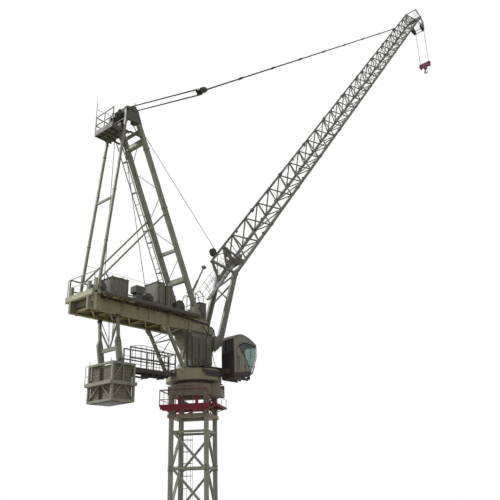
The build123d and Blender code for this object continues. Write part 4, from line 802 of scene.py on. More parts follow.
links = []
for y in (-90, 90):
    knot = (-2690, y * 0.6, 700)
    links += chain((-2700, y, 1262), knot)
    links += chain(knot, (-2700, y * 0.4, 548))
    links += chain((-2790, y * 3.4, 1262), knot)
piece("counterweight_chains", links, dark_steel, smooth=True)
guard = [tube([(-2990, 470, -310), (-2990, 470, 130), (-2905, 470, 170)], 16, 20),
         tube([(-2990, 470, -90), (-2905, 470, -90)], 14)]
guard += rods([((-2930, y, 165), (-2930, y, 240)) for y in (-400, 400)], 14)
piece("counterweight_hand_rail", guard, olive, smooth=True)
hanger_bolts = []
for side, y in sides:
    places = [(-2735 + dx, y + side * 34, 640 + dz) for dx, dz in ((-40, 0), (40, 0), (-26, 70), (26, 70))]
    hanger_bolts += bolt_row(places, 22, axis=(0, side, 0))
    hanger_bolts += [wheel(-2775, y, 1225, 46, 84, sides=18), wheel(-2660, y, 230, 42, 84, sides=18)]
piece("hanger_bolts", hanger_bolts, dark_steel, edge=1.5)
print("chains have", made["counterweight_chains"], "faces")

# %% [markdown]
# Seen from below, the space between the two girders is crossed by bars, and the side walkways are
# open grating on brackets. A grating is made from one bearing bar, repeated by an Array modifier,
# with a few cross rods over it.

# %% Counter-jib from below
stations = range(-3480, -879, 520)
crossings = []
for a, b in zip(stations, stations[1:]):
    crossings += [bar((a, -300, 1300), (b, 300, 1300), 34), bar((a, 300, 1330), (b, -300, 1330), 34)]
for x in stations:
    crossings.append(bar((x, -328, 1315), (x, 328, 1315), 50, 44))
    crossings += blocks([(x - 70, x + 70, y - 34, y + 34, 1346, 1356) for y in (-290, 290)])
# The bracing wears the underside olive, whose darker, warmer tone is painted shade.
piece("counter_jib_bracing", crossings, underside_olive_with_painted_shade, edge=2)
splices = []
for side, y in sides:
    places = [(x + dx, y + side * 22, z) for x in (-2640, -1230) for z in range(1300, 1601, 50)
              for dx in (-34, 34)]
    splices += bolt_row(places, 20, axis=(0, side, 0))
    splices += blocks([(x - 58, x + 58, y - 24, y + 24, 1290, 1626) for x in (-2640, -1230)])
piece("girder_splices", splices, girder_olive, edge=1.5)
print("bracing has", made["counter_jib_bracing"], "faces")

# %% Gratings
def grating(x0, x1, y0, y1, z, pitch=30, space=None):
    """Open grating: bearing bars by an Array modifier, and cross rods."""
    first = block(x0, x0 + 5, y0, y1, z, z + 24, space)
    pick(first)
    bpy.ops.object.transform_apply(location=True, rotation=True, scale=True)
    bpy.ops.object.modifier_add(type="ARRAY")
    row = first.modifiers[-1]
    row.use_relative_offset = False
    row.use_constant_offset = True
    row.constant_offset_displace = (space or upper).to_3x3() @ Vector((pitch, 0, 0))
    row.count = int((x1 - x0) / pitch)
    bpy.ops.object.modifier_apply(modifier=row.name)
    return [first] + blocks([(x0, x1, y, y + 5, z + 16, z + 22) for y in range(y0 + 20, y1, 55)], space)


shapes = grating(-3325, -335, -628, -398, 1634) + grating(-3505, -495, 398, 628, 1634)
shapes += grating(-2200, -730, -150, 150, 142)
piece("walkway_gratings", shapes, machine_grey)
brackets = []
for side, count in ((-1, 7), (1, 6)):
    for x in range(-3210, -3210 + 480 * count, 480):
        brackets += [bar((x, side * 395, 1470), (x, side * 622, 1612), 22, 14, up_hint=lengthwise),
                     bar((x, side * 395, 1606), (x, side * 632, 1606), 18, 26)]
piece("walkway_brackets", brackets, machine_grey, edge=2)
flaps = [plate([(x0, 1596), (x1, 1640), (x1, 1648), (x0, 1604)], -560, 120)
         for x0, x1 in ((-3210, -3030), (-2985, -2805), (-2750, -2560), (-2140, -1960), (-1660, -1500))]
piece("walkway_flaps", flaps, pale_olive, edge=2)
print("gratings have", made["walkway_gratings"], "faces")

# %% [markdown]
# Along the near girder runs a bundle of cables in clips, and from the deck hoses loop down to the
# slewing gear. They are held at both ends and along their way, so they are bent tubes.

# %% Cables and hoses
cable_y = -372
runs = []
for row, z in enumerate((1600, 1580, 1560)):
    runs.append(tube([(-3300, cable_y, z), (-900, cable_y, z), (-420, cable_y - row * 8, z - 40),
                      (150, cable_y, z - 60)], 12, 60))
for row in range(2):
    runs.append(tube([(60 + 30 * row, -270, 1720), (300, -285, 1480 + 30 * row), (470, -285, 1450 + 40 * row),
                      (560, -240, 1180)], 26, 110, 5))
for side in (-1, 1):
    runs.append(tube([(150, side * 280, 1640), (330, side * 285, 1400), (440, side * 285, 1300),
                      (540, side * 270, 1120)], 22, 90, 5))
piece("hoses", runs, rubber, smooth=True)
clips = blocks([(x - 12, x + 12, -384, -360, 1548, 1614) for x in range(-3200, -700, 320)])
piece("cable_clips", clips, dark_steel, edge=2)
print("hoses have", made["hoses"], "faces")

# %% [markdown]
# At the front of the deck stand a dark switch box and a small hooped guard, and behind them the
# guard rails of the deck. The life line is a taut wire from the far back stay to the far leg.

# %% Front of the deck
box_foot = deck_level + 10
front = blocks([(-110, 130, -330, -120, box_foot, 2090), (-125, 145, -345, -105, 2090, 2104),
                (-330, -160, -330, -90, box_foot, 1900), (-860, -700, -240, 60, box_foot, 1960)])
front += dress_door(-105, 125, -330, 1700, 2085, -1, louvres=5)
front += dress_door(-850, -710, -240, 1700, 1950, -1, louvres=4)
piece("deck_front_boxes", front, machine_grey, edge=3)
hoops = [tube([(-190, y, deck_level), (-190, y, 2330), (-110, y, 2430), (10, y, 2430), (100, y, 2330),
               (100, y, deck_level)], 22, 80) for y in (-250, -85, 85, 250)]
hoops += rods([((x, -250, z), (x, 250, z)) for x in (-190, 100) for z in (2330, 2060)], 18)
piece("deck_hoops", hoops, rail_pink, smooth=True)
line = [rod((-3270, frame_half, 2520), (-560, frame_half, 2480), 7, 6),
        rod((-2130, frame_half, deck_level), (-2130, frame_half, 2530), 12)]
piece("life_line", line, wire)
rear_x, rail_y = -3590, 520
rails = [tube([(rear_x, -rail_y, deck_level), (rear_x, -rail_y, 2100), (rear_x, rail_y, 2100),
               (rear_x, rail_y, deck_level)], 22, 40),
         rod((rear_x, -rail_y, 1890), (rear_x, rail_y, 1890), 16),
         rod((rear_x, 0, deck_level), (rear_x, 0, 2100), 20),
         rod((-3640, -rail_y, 1560), (-3640, rail_y, 1560), 12)]
piece("deck_rear_rails", rails, pale_olive, smooth=True)
drop = [rod((-3300, -330, 1300), (-3300, -330, 1130), 24), wheel(-3300, -330, 1130, 24, 30, sides=16)]
piece("drop_pin", drop, dark_steel, edge=2)
print("deck front has", made["deck_front_boxes"], "faces")

# %% [markdown]
# Thin rods brace the two raking legs of the A-frame, and flats hold the ladder off the far leg.
# The head carries an aerial, a wind lamp and guards that keep the ropes in their grooves.

# %% A-frame bracing and ladder rests
leg_rise = 6900 - deck_level


def leg_at(y, z):
    """Point on the middle line of a raking leg."""
    return (-200 - 2360 * (z - deck_level) / leg_rise, y, z)


def stay_at(y, z):
    """Point on the middle line of a back stay."""
    return (-3370 + 580 * (z - deck_level) / leg_rise, y, z)


ties = rods([(leg_at(side * 330, first), leg_at(-side * 330, last)) for side, first, last in (
    (1, 5515, 4899), (1, 4024, 3430), (-1, 4736, 4277), (-1, 3187, 2700))], 20)
ties.append(rod(leg_at(-60, 6090), leg_at(330, 5727), 20))
for side, heights in ((1, (5515, 4024, 4277, 2700)), (-1, (4899, 3430, 4736, 3187))):
    for height in heights:
        x, y, z = leg_at(side * 296, height)
        inner, outer = sorted((y - side * 30, y + side * 6))
        ties.append(block(x - 9, x + 9, inner, outer, z - 40, z + 40))
piece("a_frame_ties", ties, pale_olive, edge=1.5)
rests = []
for height in (5840, 5038, 4046, 3737, 2950, 2300):
    x, y, z = leg_at(frame_half, height)
    rests += [bar((x, 405, z), (x - 90, 596, z), 14, 26), bar((x - 90, 400, z), (x - 90, 604, z), 12, 22)]
piece("ladder_rests", rests, machine_grey, edge=1)
lean = (Vector(leg_at(0, 4000)) - Vector(leg_at(0, 3000))).normalized()
stay_lean = Vector((1, 0, 9))
joints = []
for side, y in sides:
    for z in (2300, 4420, 5920):
        base = Vector(leg_at(y, z))
        joints.append(bar(base - lean * 13, base + lean * 13, 150, 118, up_hint=lengthwise))
        pose, _ = pose_of(base, base + lean, lengthwise)
        places = [pose @ Vector((dx, dy, 22)) for dx in (-40, 0, 40) for dy in (-67, 67)]
        joints += bolt_row(places, 20, axis=tuple(lean))
    for z in (3000, 4400, 5600):
        base = Vector(stay_at(y, z))
        joints.append(bar(base - stay_lean, base + stay_lean, 84, 76, up_hint=lengthwise))
    joints += [wheel(-3370, y, 1800, 40, 74, sides=20), wheel(-200, y, 1770, 52, 118, sides=22)]
piece("a_frame_joints", joints, olive, edge=1.5)
print("A-frame joints have", made["a_frame_joints"], "faces")

# %% Head platform
deck_end, deck_start, floor_low, floor_high = -2700, -3235, 6150, 6200
shapes = grating(deck_start + 12, deck_end - 10, -330, 415, 6229, 26)
shapes += blocks([(deck_start, deck_end, -345, -325, floor_low, floor_high),
                  (deck_start, deck_end, 410, 430, floor_low, floor_high),
                  (deck_start, deck_start + 20, -345, 430, floor_low, floor_high),
                  (deck_start, deck_end, 424, 430, 6230, 6300),
                  (deck_start, deck_start + 6, -345, 430, 6230, 6300)])
shapes += blocks([(deck_start, deck_end, y - 10, y + 10, 6160, floor_high) for y in (-140, 60, 250)])
shapes += blocks([(x - 10, x + 10, -345, 430, 6165, floor_high) for x in (-3050, -2880)])
shapes += [bar((-3200, 250, 6195), (-2840, 330, 5980), 24, 18),
           bar((-3200, -320, 6195), (-2860, -340, 5990), 24, 18)]
piece("head_platform_frame", shapes, machine_grey, edge=1)
mast_foot, arm_level = (-3222, 424, 7190), 7010
aerial = [rod(start, end, diameter) for start, end, diameter in (
    ((-3222, 424, 6230), mast_foot, 16), (mast_foot, (-3222, 424, 7420), 7),
    ((-3228, 424, 6730), (-3228, -330, 6730), 12), ((-3228, -330, 6230), (-3228, -330, 6760), 16),
    ((-2960, 420, 6230), (-2960, 420, 7020), 18), ((-2700, 420, 6230), (-2700, 420, 7020), 18),
    ((-2960, 420, arm_level), (-2700, 420, arm_level), 14), ((-3222, 424, 6980), (-2960, 420, 7000), 12),
    ((-2700, 420, arm_level), (-2520, 330, 7060), 14))]
piece("head_aerial", aerial, dark_steel, edge=1)
lamp = [rod((-2700, 420, 7020), (-2700, 420, 7090), 14), wheel(-2700, 420, 7110, 26, 52, sides=18),
        rod((-2520, -300, 7080), (-2520, -300, 7180), 12), rod((-2560, -300, 7180), (-2480, -300, 7180), 10)]
piece("head_lamps", lamp, dark_red, edge=2)
print("head platform has", made["head_platform_frame"], "faces")

# %% Rope sheaves of the head
axle_x, axle_z, guard_reach = -2600, 6930, 196
guards = []
for y in (-180, -110, 110, 180):
    for angle in turns_of(4, 35 / 90):
        x, _, z = round_axle(axle_x, y, axle_z, guard_reach, angle)
        guards.append(rod((x, y - 30, z), (x, y + 30, z), 12))
for y in (-215, -145, -75, 75, 145, 215):
    guards.append(bar((axle_x, y, axle_z - 200), (axle_x, y, axle_z - 20), 60, 10, up_hint=across))
for side, y in sides:
    ring = [round_axle(axle_x, y + side * 42, axle_z, 92, angle) for angle in turns_of(6)]
    guards += bolt_row(ring, 22, axis=(0, side, 0))
    guards.append(wheel(-2815, y, 6830, 46, 96, sides=20))
guards += blocks([(-2480, -2380, -230, -130, 6880, 7000), (-2700, -2500, 150, 210, 7080, 7140)])
piece("head_rope_guards", guards, dark_steel, edge=1)
boxes = blocks([(-2960, -2780, -300, -160, 6232, 6400), (-2560, -2420, -290, -180, 6560, 6700),
                (-2700, -2620, 180, 300, 6570, 6690)])
boxes += [tube([(-2600, -300, 6560), (-2520, -300, 6440), (-2460, -320, 6330), (-2360, -300, 6280)], 24, 60),
          tube([(-2700, 300, 6560), (-2560, 290, 6420), (-2450, 300, 6320)], 24, 60),
          tube([(-2640, 60, 6590), (-2560, 120, 6400), (-2480, 300, 6330)], 20, 60)]
piece("head_boxes_and_hoses", boxes, rust_brown, edge=2, smooth=True)
print("head guards have", made["head_rope_guards"], "faces")

# %% [markdown]
# The service platform round the mast head is dark red below, with thin grey posts and a dark brown
# rail above. It turns with the mast, 30.7 degrees to the crane's own frame.

# %% Service platform
low, high, rail_top, outer, inner = -640, -590, -235, 690, 630
platform = [(-outer, outer, -470, -410, low, high), (-outer, outer, 640, 700, low, high),
            (-outer, -inner, -410, 640, low, high), (inner, outer, -410, 640, low, high),
            (-586, 586, -744, -716, low, high), (-694, -634, -560, 610, low - 100, high - 4)]
platform += [(x - 24, x + 24, y - 24, y + 24, low - 60, low + 10) for x in (-600, 0, 600)
             for y in (-440, 670)]
platform += [(x - 26, x + 26, -740, 640, low + 4, high - 6) for x in (-560, 560)]
platform += [(x - 16, x + 16, -740, -410, low + 6, high - 8) for x in (-300, 0, 300)]
for y in (182, -259):
    platform += [(-outer, -inner, y - 32, y + 32, high - 10, high + 205),
                 (-outer, -inner, y - 22, y + 22, low - 150, low - 90)]
piece("service_platform_floor", blocks(platform, mast_top), dark_red, "mast", edge=2,
      replaces=("service_platform",))
corner_x, front_y, back_y, porch_y = 677, -457, 687, -727
corners = [(-corner_x, front_y), (-corner_x, back_y), (corner_x, back_y), (corner_x, front_y)]
edges = list(zip(corners, corners[1:] + corners[:1]))
rails = []
for z, size in ((rail_top, 30), (rail_top - 230, 16)):
    rails += rods([((*a, z), (*b, z)) for a, b in edges], size, mast_top)
drop_rail = [(-corner_x, 600, rail_top - 8), (-corner_x, -551, rail_top - 8), (-corner_x, -551, -821)]
rails.append(tube(drop_rail, 26, 40, space=mast_top))
piece("service_platform_rail", rails, rail_brown, "mast", smooth=True)
posts = []
for a, b in edges:
    for step, thick in enumerate((26, 18, 18, 18)):
        x, y = Vector(a).lerp(Vector(b), step / 4)
        posts.append(rod((x, y, high - 40), (x, y, rail_top), thick, space=mast_top))
posts.append(rod((-corner_x, front_y, low - 150), (-corner_x, front_y, high), 18, space=mast_top))
porch = [((x, porch_y, high), (x, porch_y, high + 190)) for x in (-570, 0, 570)]
posts += rods(porch + [((-570, porch_y, high + 190), (570, porch_y, high + 190))], 14, mast_top)
piece("service_platform_posts", posts, housing_grey, "mast", smooth=True)
walk = []
for x, y0, y1 in ((626, -406, -345), (626, 570, 636), (540, -712, -474)):
    walk += grating(-x, x, y0, y1, high - 26, 36, mast_top)
piece("service_platform_grating", walk, dark_red, "mast")
print("service platform has", made["service_platform_grating"], "faces of grating")

# %% Mast head dressing
head_post, head_edge, bearing_ring = 447, 532, 530 * 0.93
dressing = []
for sx, sy in ((-1, -1), (1, -1), (1, 1), (-1, 1)):
    x, y = sx * head_post, sy * head_post
    dressing.append(block(x - 62, x + 62, y - 62, y + 62, -420, -392, mast_top))
    spots = [(d, z) for d in (-30, 30) for z in (-640, -580)]
    dressing += bolt_row([(x + d, y + sy * 66, z) for d, z in spots], 26, mast_top, (0, sy, 0))
    dressing += bolt_row([(x + sx * 66, y + d, z) for d, z in spots], 26, mast_top, (sx, 0, 0))
for x in (-360, -120, 120, 360):
    for near, far in ((-head_edge - 20, -head_edge), (head_edge, head_edge + 20)):
        dressing += blocks([(x - 6, x + 6, near, far, -350, -130), (near, far, x - 6, x + 6, -350, -130)],
                           mast_top)
for angle in turns_of(24):
    low_end, high_end = (on_circle(bearing_ring, angle, z) for z in (-126, -68))
    dressing.append(bar(low_end, high_end, 60, 8, mast_top, (-math.sin(angle), math.cos(angle), 0)))
piece("mast_head_stiffeners", dressing, head_brown, "mast", edge=1.5)
hood = blocks([(-200, 200, -742, -520, -60, -48), (-236, -222, -764, -540, -380, -70),
               (222, 236, -764, -540, -380, -70)], mast_top)
piece("mast_head_hood", hood, head_brown, "mast", edge=2)
corbels = []
for x in (-head_post, head_post):
    corbels += [((x, -500, -700), (x, -700, -645)), ((x, 500, -760), (x, 676, -645))]
for y in (-300, head_post):
    corbels += [((-500, y, -760), (-676, y, -645)), ((500, y, -760), (676, y, -645))]
piece("platform_corbels", [bar(a, b, 26, 20, mast_top) for a, b in corbels], head_brown, "mast", edge=1.5)
print("mast head has", made["mast_head_stiffeners"], "faces")

# %% [markdown]
# Every mast bay is built alike: gusset plates where the diagonal meets the posts, a pinned joint in
# each post, and a guard hoop round the inside ladder. One bay is modelled and copied up the mast.

# %% Mast bays
bay, level, bays, post_at = 855, 220, 6, 447.5
shapes, pins = [], []
for turn in range(4):
    face = mast @ Matrix.Rotation(math.radians(90 * turn), 4, "Z")
    for x, gusset_end in ((-post_at, 150 - post_at), (post_at, post_at - 150)):
        gusset = [(x, level - 70), (gusset_end, level - 26), (gusset_end, level + 26), (x, level + 70)]
        shapes.append(plate(gusset, -post_at - 30, 10, face))
        pins += [wheel(x, -post_at, z, 26, 132, sides=14, space=face) for z in (level - 46, level + 46)]
    near, far = -post_at - 57, -post_at + 57
    shapes.append(block(near, far, near, far, level - 8, level + 8, face))
ladder_y, ladder_half = 342.5, 100
hoop_line = [(-ladder_half, 0), (-170, -120), (-150, -260), (0, -330), (150, -260), (170, -120),
             (ladder_half, 0)]
for z in (level + 120, level + 400, level + 680):
    pins.append(tube([(x, ladder_y + y, z) for x, y in hoop_line], 12, 50, space=mast))
for side in (-1, 1):
    for x, y in ((166, ladder_y - 130), (90, ladder_y - 296)):
        pins.append(bar((side * x, y, level), (side * x, y, level + bay), 14, 5, mast))
    for z in (level + 60, level + 480):
        start, end = (side * ladder_half, ladder_y, z), (side * (ladder_half + 40), post_at, z)
        pins.append(bar(start, end, 20, 8, mast))
bpy.context.view_layer.update()
whole, whole_pins = list(shapes), list(pins)
for number in range(1, bays):
    lift = Matrix.Translation((0, 0, number * bay * mm))
    whole += [moved_copy(item, lift) for item in shapes]
    whole_pins += [moved_copy(item, lift) for item in pins]
piece("mast_gussets", whole, mast_grey, "mast", edge=1.5)
piece("mast_pins_and_ladder_guard", whole_pins, housing_grey, "mast", smooth=True)
studs = []
for x in (-590, 590):
    for y in (-590, 590):
        nut_place = mast @ Matrix.Translation((x, y, 54)) @ quarter_x
        studs += [rod((x, y, 1), (x, y, 96), 30, 12, mast),
                  wheel(0, 0, 0, 34, 26, rim=0.2, sides=6, space=nut_place)]
piece("anchor_studs", studs, dark_steel, "mast", edge=1.5)
print("mast gussets have", made["mast_gussets"], "faces")

# %% [markdown]
# Ropes that run between two moving bodies are straight: each has vertices only at its
# ends. They are baked in place and carried by no body.

# %% Ropes between bodies
def rope_between(name, runs, diameter, space, replaces=()):
    """Straight ropes with vertices only at their ends, baked in place."""
    item = joined(name, rods(runs, diameter, space), wire)
    bpy.ops.object.shade_smooth_by_angle(angle=math.radians(60))
    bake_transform(item)
    if replaces:
        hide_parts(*replaces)
    return item


line_end = pendant_way.length * 1000
runs = []
for y in (-50, 50):
    runs += [((19232, y, -90), (line_end, 180 + y * 0.3, -230)),
             ((19232, y, 90), (line_end - 80, -180 + y * 0.3, -3))]
rope_between("luffing_falls", runs, 24,
             pendant, ("luffing_rope_falls",))
world = Matrix.Diagonal((mm, mm, mm, 1))
front_x, block_top, fall_y = 18999.8, 27470, 265
runs = [((front_x, y, block_top), (front_x, y, 29830)) for y in (-fall_y, fall_y)]
rope_between("hoist_falls", runs, 24,
             world,
             ("hoist_rope_falls",))
foot_sheave = upper.inverted() @ (jib @ Vector((2200, 0, 1656)))
deflected = (axle_x + 120, -40, axle_z + 126)
runs = [(deflected, (foot_sheave.x + 66, -40, foot_sheave.z + 60))]
rope_between("hoist_rope_to_jib", runs, 14,
             upper)
rope_turn = (28100, -120, 1180)
along = rods([((2210, -40, 1566), rope_turn), (rope_turn, (28640, -250, 446))], 14, jib)
piece("hoist_rope_on_jib", along + [wheel(28100, -120, 1120, 60, 26, sides=20, space=jib)], wire, "jib",
      smooth=True)
print("ropes have", made["luffing_falls"] + made["hoist_falls"] + made["hoist_rope_to_jib"], "faces")

# %% Hook block and hook
sheave_z, guard_low, guard_high = block_top - 120, block_top - 30, block_top + 26
shapes = [wheel(front_x, y, sheave_z, 118, 26, rim=0.12, sides=32, space=world) for y in (-fall_y, fall_y)]
piece("hook_block_sheaves", shapes, dark_steel, "hook_block", edge=2)
guard = [(front_x - 66, guard_low), (front_x + 66, guard_low), (front_x + 66, guard_high),
         (front_x - 66, guard_high)]
marks = [plate(guard, y + side * 34, 8, world) for y in (-fall_y, fall_y) for side in (-1, 1)]
marks += rods([((front_x + side * 40, -340, sheave_z), (front_x + side * 66, -340, sheave_z))
               for side in (-1, 1)], 4, world)
marks += [wheel(front_x, y, sheave_z, 34, 150, sides=18, space=world) for y in (-300, 300)]
marks += blocks([(front_x + side * 62 - 6, front_x + side * 62 + 6, -318, 318, block_top - 262, block_top - 8)
                 for side in (-1, 1)], world)
marks += blocks([(front_x - 60, front_x + 60, y - 26, y + 26, block_top - 335, block_top - 60)
                 for y in (-282, 282)], world)
for side in (-1, 1):
    places = [(front_x + side * 68, y, block_top - drop) for y in (-200, -70, 70, 200) for drop in (60, 150)]
    marks += bolt_row(places, 18, world, (side, 0, 0))
piece("hook_block_plates", marks, hook_red, "hook_block", edge=1.5)
latch = [bar((front_x, 6, 26930), (front_x, 60, 26800), 16, 8, world, lengthwise),
         wheel(front_x, 6, 26935, 14, 30, sides=12, space=world)]
piece("hook_latch", latch, dark_steel, "hook", edge=1)
print("hook block has", made["hook_block_plates"], "faces")

# %% [markdown]
# The rear end of the counter-jib stands pale against the rest: two end posts rise over the rear
# beam. The near walkway shows pale grating panels between its dark brackets from below.

# %% Rear end and walkway panels
rear = blocks([(-3500, -3430, -424, -392, 1262, 1990), (-3420, -3350, 392, 424, 1262, 1790),
               (-3560, -3340, -424, -392, 1640, 1700), (-3634, -3626, -520, 520, 1534, 1676),
               (-3560, -3430, -400, -393, 1420, 1640)])
rear += bolt_row([(-3636, y, z) for y in range(-480, 481, 160) for z in (1560, 1650)], 20, axis=(-1, 0, 0))
piece("counter_jib_end_posts", rear, pale_cream, edge=2)
panels = [plate([(x, 1600), (x + 150, 1600), (x + 190, 1606), (x + 40, 1606)], -515, 200)
          for x in (-3290, -3050, -2810, -2570)]
panels.append(plate([(-3240, 1712), (-3080, 1712), (-3060, 1722), (-3220, 1722)], -440, 70))
piece("walkway_panels", panels, pale_cream, edge=1)
toe = blocks([(-3330, -330, -633, -627, 1575, 1625), (-3330, -330, -593, -587, 1580, 1606),
              (-3510, -490, 627, 633, 1575, 1625), (-3510, -490, 587, 593, 1580, 1606)])
piece("walkway_toe_boards", toe, machine_grey, edge=1)
print("rear end has", made["counter_jib_end_posts"], "faces")

# %% [markdown]
# The rear walkway to the counterweight is crowded with rails, steps and braces, and under it hang
# dark beams. Light flats tie the knee braces together.

# %% Rear walkway
rail_y, post_foot = 145, 120
near_line = [(-2220, 640), (-1870, 700), (-1560, 690), (-1140, 640), (-960, 560)]
between = [(-2060, 665), (-1720, 700), (-1300, 660), (-1040, 590)]
walk_rails = [tube([(x, -rail_y, z) for x, z in near_line], 14, 40)]
bars_at = [((x, -rail_y, post_foot), (x, -rail_y, z)) for x, z in near_line + between]
bars_at += [((x, rail_y, post_foot), (x, rail_y, 640))
            for x in (-2180, -1920, -1660, -1400, -1140, -900, -780)]
bars_at += [((-2210, rail_y, z), (-760, rail_y, z)) for z in (640, 470, 300)]
bars_at += [((-1180, -rail_y, z), (-760, -rail_y, z)) for z in (300, 200)]
piece("rear_walkway_rails", walk_rails + rods(bars_at, 12), machine_grey, smooth=True)
walk_beams = blocks([(-2215, -760, -170, -146, 60, 142), (-2215, -760, 146, 170, 60, 142),
                     (-2080, -1640, -100, -60, -70, -30), (-1540, -1060, -60, -20, -20, 30),
                     (-1660, -1640, -120, 120, -60, 70), (-2080, -2056, -120, 120, -60, 70),
                     (-1500, -1470, -120, 120, -20, 70), (-1160, -1130, -120, 120, -20, 70)])
walk_beams += [bar((-2215, side * 120, 70), (-2320, side * 200, 30), 30) for side in (-1, 1)]
walk_beams += blocks([(x - 9, x + 9, -150, 150, 84, 108) for x in range(-2160, -760, 150)])
piece("rear_walkway_beams", walk_beams, dark_steel, edge=2)
flats = []
for side, y in sides:
    inner = y - side * 20
    flats += [plate([(-1400, 1262), (-1250, 1262), (-1230, 1150), (-1290, 1110), (-1370, 1180)], inner, 26),
              bar((-1180, inner, 1068), (-860, inner, 1250), 22, 12, up_hint=across),
              plate([(-700, 320), (-590, 320), (-560, 206), (-720, 206)], inner, 20),
              bar((-1110, -side * 320, 935), (-900, side * 320, 600), 18, 10),
              bar((-760, side * 330, 360), (-330, side * 230, 560), 20, 12)]
flats += [bar((-1110, -330, 940), (-1110, 330, 940), 30), bar((-900, -330, 590), (-900, 330, 590), 30),
          bar((-1180, -320, 1066), (-1115, 320, 950), 18, 10),
          bar((-1040, -330, 825), (-400, -235, 760), 18, 12)]
piece("knee_brace_ties", flats, pale_olive, edge=1.5)
print("rear walkway has", made["rear_walkway_rails"], "faces of rails")

# %% Tower dressing
seams = blocks([(-596, -572, -540, -523, 300, 1075), (-82, -60, -540, -500, 330, 1075),
                (-590, -560, -362, -330, 240, 1262), (180, 206, -470, -452, 420, 1030)])
seams += blocks([(x - 8, x + 8, -529, -519, 340, 1065) for x in range(-540, -90, 46)])
piece("tower_seams", seams, dark_brown, edge=1.5)
# Towards the cab this dark beam is the cab's real carrier. Its rear stretch under the housings, and the
# sloping dark plate on it that is pointed at the rear end, are painted shadow for the shaded gap under the
# housings.
beam = [block(-250, 463, -530, -512, 196, 268),
        plate([(-250, 268), (60, 268), (60, 300), (-60, 300)], -521, 16)]
piece("cab_side_beam_and_painted_shadow", beam, dark_brown, edge=2)
wires = [tube([(190, -470, 1030), (190, -500, 700), (230, -540, 420), (420, -560, 290)], 16, 80),
         tube([(-40, -480, 1075), (-40, -560, 1200), (-40, -370, 1480)], 18, 60),
         tube([(-20, -470, 1075), (-20, -540, 1180), (-10, -370, 1420)], 14, 60)]
piece("tower_wires", wires, rubber, smooth=True)
print("tower seams have", made["tower_seams"], "faces")

# %% [markdown]
# The jib's three chords are joined by pins every second panel. Its foot carries rope guards,
# braces, cables and a service walkway with rails; its head carries rails and a wind meter.

# %% Jib joints
panel, first_joint, first_knot, joint_count, knot_count = 1239, 4864, 3625, 10, 20
joint_shapes, joint_pins = [], []
for number in range(joint_count):
    at = first_joint + 2 * panel * number
    for _, y in sides:
        joint_shapes += blocks([(at + near, at + far, y - 50, y + 50, 784, 884)
                                for near, far in ((-74, -6), (6, 74))], jib)
        joint_pins += [wheel(at, y, t, 17, 124, sides=12, space=jib) for t in (812, 856)]
    joint_shapes += blocks([(at + near, at + far, -46, 46, 1478, 1570)
                            for near, far in ((-70, -6), (6, 70))], jib)
    joint_pins.append(wheel(at, 0, 1524, 20, 120, sides=12, space=jib))
piece("jib_joints", joint_shapes, jib_grey, "jib", edge=2)
piece("jib_joint_pins", joint_pins, dark_steel, "jib", edge=1)
knots = []
for at in range(first_knot, first_knot + panel * knot_count, panel):
    knots.append(block(at - 58, at + 58, -6, 6, 1440, 1500, jib))
    low = at + 620
    for _, y in sides:
        knots.append(plate([(low - 80, 868), (low + 80, 868), (low + 40, 926), (low - 40, 926)], y, 12, jib))
piece("jib_knot_plates", knots, jib_grey, "jib", edge=1)
print("jib joints have", made["jib_joints"], "faces")

# %% Jib foot dressing
sheave_s, sheave_t = 2200, 1656
cheek = [(2110, 1570), (2290, 1570), (2330, 1660), (2290, 1750), (2200, 1786), (2110, 1750), (2070, 1660)]
guards = [plate(cheek, y, 8, jib) for y in (-34, 34)]
guards += rods([(round_axle(sheave_s, -36, sheave_t, 118, angle),
                 round_axle(sheave_s, 36, sheave_t, 118, angle))
                for angle in (0.6, 1.6, 2.6, 3.9, 5.2)], 12, jib)
piece("foot_sheave_guard", guards, dark_steel, "jib", edge=1)
foot = []
for side, y in sides:
    foot += [rod((2060, y, 834), (2420, y * 0.35, 1440), 26, space=jib),
             rod((2714, y, 860), (2980, y * 0.2, 1500), 22, space=jib),
             rod((2300, side * 300, 860), (2560, -side * 200, 1300), 16, space=jib),
             plate([(1960, 760), (2150, 760), (2230, 900), (2060, 940), (1950, 880)], y, 92, jib)]
foot += [rod((2420, -120, 1440), (2420, 120, 1440), 26, space=jib),
         rod((3200, -330, 850), (3600, 330, 850), 18, space=jib)]
foot += blocks([(2640, 2790, -60, 60, 1180, 1420), (2600, 2700, -240, -90, 900, 1060),
                (2640, 2740, 110, 250, 900, 1040), (2860, 3050, -120, 120, 860, 980)], jib)
piece("jib_foot_braces", foot, jib_grey, "jib", edge=2)


def hand_rail(line, middle, posts, y):
    """Bent rail on the jib through points in s and t, with a middle bar and posts."""
    start, top, end = line[0][0], line[1][1], line[2][0]
    bars = [((start, y, middle), (end, y, middle))] + [((at, y, 880), (at, y, top)) for at in posts]
    return [tube([(at, y, height) for at, height in line], 14, 60, space=jib)] + rods(bars, 12, jib)


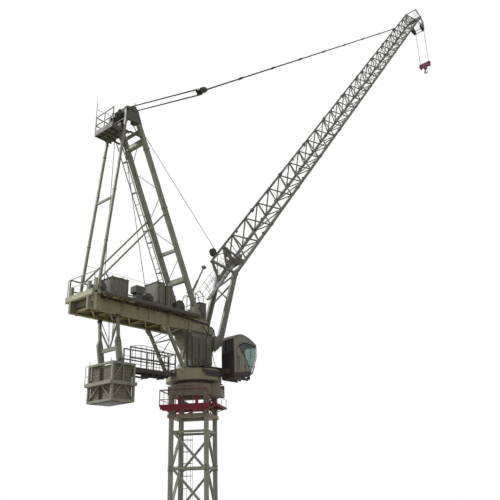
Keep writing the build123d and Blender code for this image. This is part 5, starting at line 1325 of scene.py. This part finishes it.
foot_line = [(1000, 890), (1000, 1240), (2420, 1240), (2420, 890)]
foot_rails = []
for y in (-130, 130):
    foot_rails += hand_rail(foot_line, 1070, (1350, 1700, 2050), y)
piece("jib_foot_rails", foot_rails, jib_grey, "jib", smooth=True)
near_cable = [(600, -300, 250), (1300, -300, 530), (2060, -300, 790), (2700, -300, 790), (6000, -318, 788)]
far_cable = [(700, 300, 290), (1400, 300, 570), (2060, 300, 790), (5000, 318, 788)]
cables = [tube(way, 16, 200, 4, jib) for way in (near_cable, far_cable)]
piece("jib_cables", cables, rubber, "jib", smooth=True)
print("jib foot has", made["jib_foot_rails"], "faces of rails")

# %% Jib head dressing
head_line = [(28100, 880), (28100, 1350), (28790, 1350), (28790, 1000)]
head_rails = []
for y in (-330, 330):
    head_rails += hand_rail(head_line, 1120, (28320, 28550), y)
piece("jib_head_rails", head_rails, jib_grey, "jib", smooth=True)
cheek = [(28480, 480), (28850, 480), (28860, 250), (28780, 60), (28560, 60), (28470, 250)]
head_plates = [plate(cheek, y + side * 42, 8, jib) for y in (-fall_y, fall_y) for side in (-1, 1)]
head_plates += rods([((at, -300, 90), (at, 300, 90)) for at in (28540, 28800)], 26, jib)
head_plates.append(block(28980, 29060, -330, 330, 700, 760, jib))
piece("jib_head_cheeks", head_plates, dark_steel, "jib", edge=2)
meter = [rod((28808, 280, 1389), (28790, 280, 1420), 12, space=jib),
         block(28200, 28440, -150, 150, 870, 960, jib),
         wheel(28808, -300, 1396, 24, 44, sides=14, space=jib)]
piece("jib_head_meter", meter, dark_steel, "jib", edge=1)
bar_count, link_length = 8, 19082.5 / 8
links = []
for x in (number * link_length for number in range(1, bar_count)):
    for y in (-35, 35):
        links.append(block(x - 80, x + 80, y - 15, y + 15, -32, 32, pendant))
        links += [wheel(pin, y, 0, 18, 56, sides=12, space=pendant) for pin in (x - 46, x + 46)]
links += blocks([(-70, 90, -74, -52, -36, 36), (-70, 90, 52, 74, -36, 36)], pendant)
piece("pendant_links", links, dark_steel, "pendant", edge=1.5)
print("jib head has", made["jib_head_rails"], "faces of rails")
